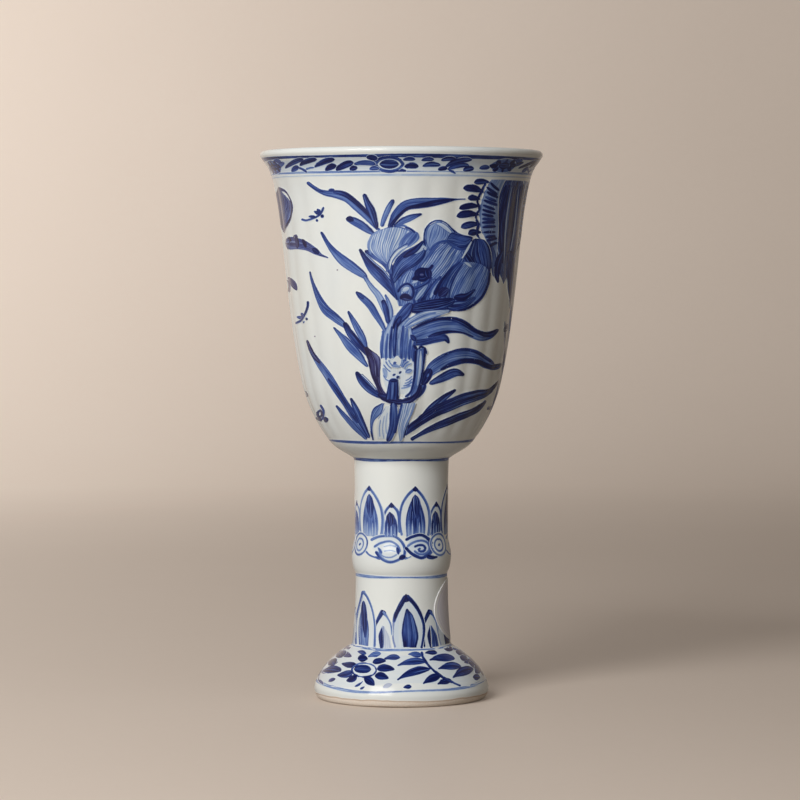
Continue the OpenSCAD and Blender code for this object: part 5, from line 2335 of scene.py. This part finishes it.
@dataclass
class FootPainting:
    """The flowers and leafy sprays on the foot, inside a wavering edge line."""

    edge_line: float = 5.4
    edge_width: float = 1.05
    repeats: int = 3
    fullness: float = 1.16
    ground: tuple[float, float] = (6.5, 16.8)

    def touches(self) -> list[Stroke]:
        """The petals of one flower and the leaves of one spray."""
        listed = [
            ("north petal", INK, (357.6, 659.2), (368.2, 659.2), 6.6),
            ("bud above the flower", DEEP, (357, 651.8), (366.4, 654.2), 3.8),
            ("north-east petal", INK, (372.4, 663), (386.4, 661.2), 5.4),
            ("leaf above the flower", MID, (368, 657.2), (381.4, 653.8), 4.8),
            ("leaf to the right", DEEP, (384, 659.2), (400.4, 658), 5.2),
            ("east petal", INK, (376.6, 669.4), (395, 669.8), 6.6),
            ("south-east petal", INK, (374.4, 676.2), (389, 678.8), 6.6),
            ("south petal", INK, (363.6, 678), (374.6, 686), 7.4),
            ("south tail", DEEP, (363, 681), (354.2, 686.8), 2.3),
            ("second south tail", DEEP, (365, 686), (359.6, 689.2), 2.2),
            ("south-west petal", INK, (357, 675.6), (346, 681), 6.0),
            ("west petal", INK, (353, 671.2), (337, 675.2), 6.0),
            ("north-west petal", INK, (356.8, 664.2), (341.4, 663.4), 5.4),
            ("spray leaf 1", DEEP, (397, 666), (426.6, 662), 6.4),
            ("spray leaf 2", INK, (396.8, 680.4), (430.4, 669.2), 7.2),
            ("spray leaf 3", INK, (422.6, 684.2), (441.4, 676), 7.2),
            ("spray leaf 4", INK, (437, 684.6), (452, 680.8), 5.8),
            ("spray leaf 5", MID, (407.6, 654.6), (422, 656.2), 4.8),
            ("spray leaf 6", INK, (424.4, 653.4), (437.4, 653.4), 4.4),
            ("spray leaf 7", INK, (429, 660.4), (455, 659), 7.0),
            ("spray leaf 8", INK, (437.6, 669.2), (461.4, 667), 6.8),
            ("spray leaf 9", INK, (452.4, 678), (473.6, 669.2), 8.2),
            ("bottom touch", INK, (402.8, 688), (412, 687), 4.2),
        ]
        return [
            dab("pale touch under the flower", PALE, (382.6, 688), (392.6, 684.4), 5.0, VIOLET),
            *[dab(*touch, width * self.fullness, PLAIN, 0.08, 0.42 if "petal" in touch[0] else 0.6)
              for *touch, width in listed],
        ]

    def spray_end(self) -> list[Stroke]:
        """The last leaves of a spray."""
        ends = [
            ((472.4, 677.4), (480.2, 677.8), 6.8),
            ((459.4, 656.6), (467, 660.4), 5.8),
            ((468, 662), (479, 669.6), 5.2),
            ((443, 648), (453, 650.2), 6.0),
            ((455.2, 651.4), (462.8, 654.2), 5.0),
        ]
        return [dab(f"spray end {i}", INK, *touch) for i, touch in enumerate(ends)]

    def violets(self) -> list[Stroke]:
        """The violet leaves at the left of the front, where the spray of the left side ends."""
        ends = [
            ((328.4, 681.8), (336, 678.8), 3.8),
            ((321.4, 673), (337.4, 669.2), 5.8),
            ((328, 663.6), (338, 662.2), 6.8),
            ((338.6, 653), (352, 657), 6.0),
            ((346, 648.4), (351, 647.6), 3.4),
            ((317.8, 679.6), (323.6, 684.6), 3.2),
        ]
        return [dab(f"violet leaf {i}", DEEP, *touch, VIOLET) for i, touch in enumerate(ends)]

    def flower(self) -> list[Stroke]:
        """The flower's centre and ring, and the spray's stem."""
        return [
            Loop("ring round the flower", DEEP, FLAT, (364, 670.2), (12.0, 6.8), 2.0),
            ribbon("flower's centre", INK, PLAIN, (354, 669.4, 3.6), (358.2, 669.2, 7.4),
                (362.7, 669.3, 8.2), (367.2, 669.4, 7.4), (371.4, 669.6, 3.6)),
            trail("spray's stem", INK, 2.2, (421.4, 651.6), (423.8, 658.8), (431.2, 668.2), (442, 676.8),
                (452, 682.2), (461, 686.2)),
        ]

    def build(self, easel: Easel) -> bpy.types.Object:
        """Paints the foot right round.

        Args:
            easel: its surface, camera and finish.
        Returns:
            The piece.
        """
        painting = Painting("painted_foot_sprays")
        low, high = self.ground
        tint = Hoop("tint of the ground", TINT, FLAT, (low + high) / 2, high - low, 0.0)
        edge = Hoop("wavering edge line", WASH, PLAIN, self.edge_line, self.edge_width, 0.42)
        painting.lay(easel.sheet([tint, edge]))
        step = 360 / self.repeats
        turns = [Turn(step * i) for i in range(self.repeats)]
        painting.lay(easel.sheet([*self.touches(), *self.flower()], 3), turns)
        painting.lay(easel.sheet(self.spray_end(), 4), turns[:-1])
        painting.lay(easel.sheet(self.violets(), 4), turns[:1])
        return painting.finish(easel.cobalt)


@dataclass
class RoundLabel:
    """The plain round paper label curved round the lower stem."""

    radius: float = 10.0
    thickness: float = 0.2
    turn: float = 86.0
    middle: float = 28.75
    rings: int = 22
    columns: int = 96

    def build(self, skin: Skin, paper: bpy.types.Material) -> bpy.types.Object:
        """Bends a disc of paper on to the stem.

        Args:
            skin: the surface it lies on.
            paper: its finish.
        Returns:
            The piece.
        """
        profile = [(self.radius * i / self.rings, 0.0) for i in range(self.rings + 1)]
        bm = turned(profile, self.columns, False)
        share = bm.verts.layers.float.new("share")
        for vert in bm.verts:
            across, up = vert.co.x / MM, vert.co.y / MM
            vert[share] = math.hypot(across, up) / self.radius
            height = self.middle + up
            reach = skin.radius(height)
            vert.co = skin.point(self.turn + math.degrees(math.asin(across / reach)), height, self.thickness)
        bmesh.ops.recalc_face_normals(bm, faces=bm.faces)
        face = next(iter(bm.faces))
        if face.normal.xy.dot(face.calc_center_median().xy) < 0:
            bmesh.ops.reverse_faces(bm, faces=bm.faces)
        bmesh.ops.solidify(bm, geom=bm.faces[:], thickness=(self.thickness + 0.02) * MM)
        return settle(bm, "round_paper_label", paper, ["round_label"])


@dataclass
class Studio:
    """The sweep of paper round the cup and the lights."""

    floor_radius: float = 1.05
    cove_radius: float = 0.42
    wall_top: float = 1.5
    inner_floor: float = 0.3
    cove_rows: int = 18
    columns: int = 96
    facing: tuple[float, float, float] = (0.0, 0.0, 0.6)
    key_power: float = 16.5
    key_size: float = 0.7
    key_place: tuple[float, float, float] = (-0.58, -1.04, 0.72)
    fill_strength: float = 0.12
    fill_colour: Colour = (1.0, 0.95, 0.9)
    aim: tuple[float, float, float] = (0.0, 0.0, 0.09)

    def sweep(self, paper: bpy.types.Material) -> bpy.types.Object:
        """Turns the floor and the wall as one round sweep.

        Args:
            paper: its finish.
        Returns:
            The stage piece.
        """
        foot = self.floor_radius / MM
        cove = self.cove_radius / MM
        curve = arc_rows((foot, cove), (cove, cove), -90, 0, self.cove_rows)
        floor = [(0.0, 0.0), (foot * self.inner_floor, 0.0)]
        bm = turned([*floor, *curve, (foot + cove, self.wall_top / MM)], self.columns, False)
        for face in bm.faces:
            face.smooth = True
            if face.normal.dot(face.calc_center_median() - Vector(self.facing)) > 0:
                face.normal_flip()
        mesh = bpy.data.meshes.new("backdrop_sweep")
        bm.to_mesh(mesh)
        bm.free()
        mesh.materials.append(paper)
        made = bpy.data.objects.new("backdrop_sweep", mesh)
        bpy.context.scene.collection.objects.link(made)
        return made

    def lamp(self, name: str, place: Sequence[float], power: float, size: float, colour: Colour) -> None:
        """Adds a soft square lamp aimed at the cup.

        Args:
            name: the lamp's name.
            place: where it stands, in metres.
            power: its power in watts.
            size: the length of its side.
            colour: its colour.
        """
        data = bpy.data.lights.new(name, "AREA")
        data.energy = power
        data.size = size
        data.color = colour
        made = bpy.data.objects.new(name, data)
        made.location = place
        made.rotation_euler = (Vector(place) - Vector(self.aim)).to_track_quat("Z", "Y").to_euler()
        bpy.context.scene.collection.objects.link(made)

    def build(self, paper: bpy.types.Material) -> None:
        """Sets up the sweep, the key lamp and the world.

        Args:
            paper: the sweep's finish.
        """
        self.sweep(paper)
        self.lamp("key_lamp", self.key_place, self.key_power, self.key_size, (1.0, 1.0, 1.0))
        world = bpy.data.worlds.new("studio_world")
        world.use_nodes = True
        sky = world.node_tree.nodes["Background"]
        sky.inputs["Color"].default_value = (*self.fill_colour, 1.0)
        sky.inputs["Strength"].default_value = self.fill_strength
        bpy.context.scene.world = world
        bpy.context.scene.view_settings.view_transform = "Standard"


def main() -> None:
    """Builds the cup, its painting and the studio, in order."""
    logging.basicConfig(level=logging.INFO, format="%(name)s %(message)s")
    view = PhotoView()
    view.camera()
    glaze = Glaze()
    clear = glaze.material()
    bowl, stem, foot = Bowl(), Stem(), Foot()
    skin = Skin(bowl, stem, foot)
    easel = Easel(skin, view, Cobalt().material(glaze))
    bowl.build(clear)
    stem.build(clear)
    foot.build(FootFinish().material(glaze))
    RimBorder().build(easel)
    BowlPainting().build(easel)
    StemPainting().build(easel)
    FootPainting().build(easel)
    RoundLabel().build(skin, LabelPaper().material())
    Studio().build(Backdrop().material())


if __name__ == "__main__":
    main()
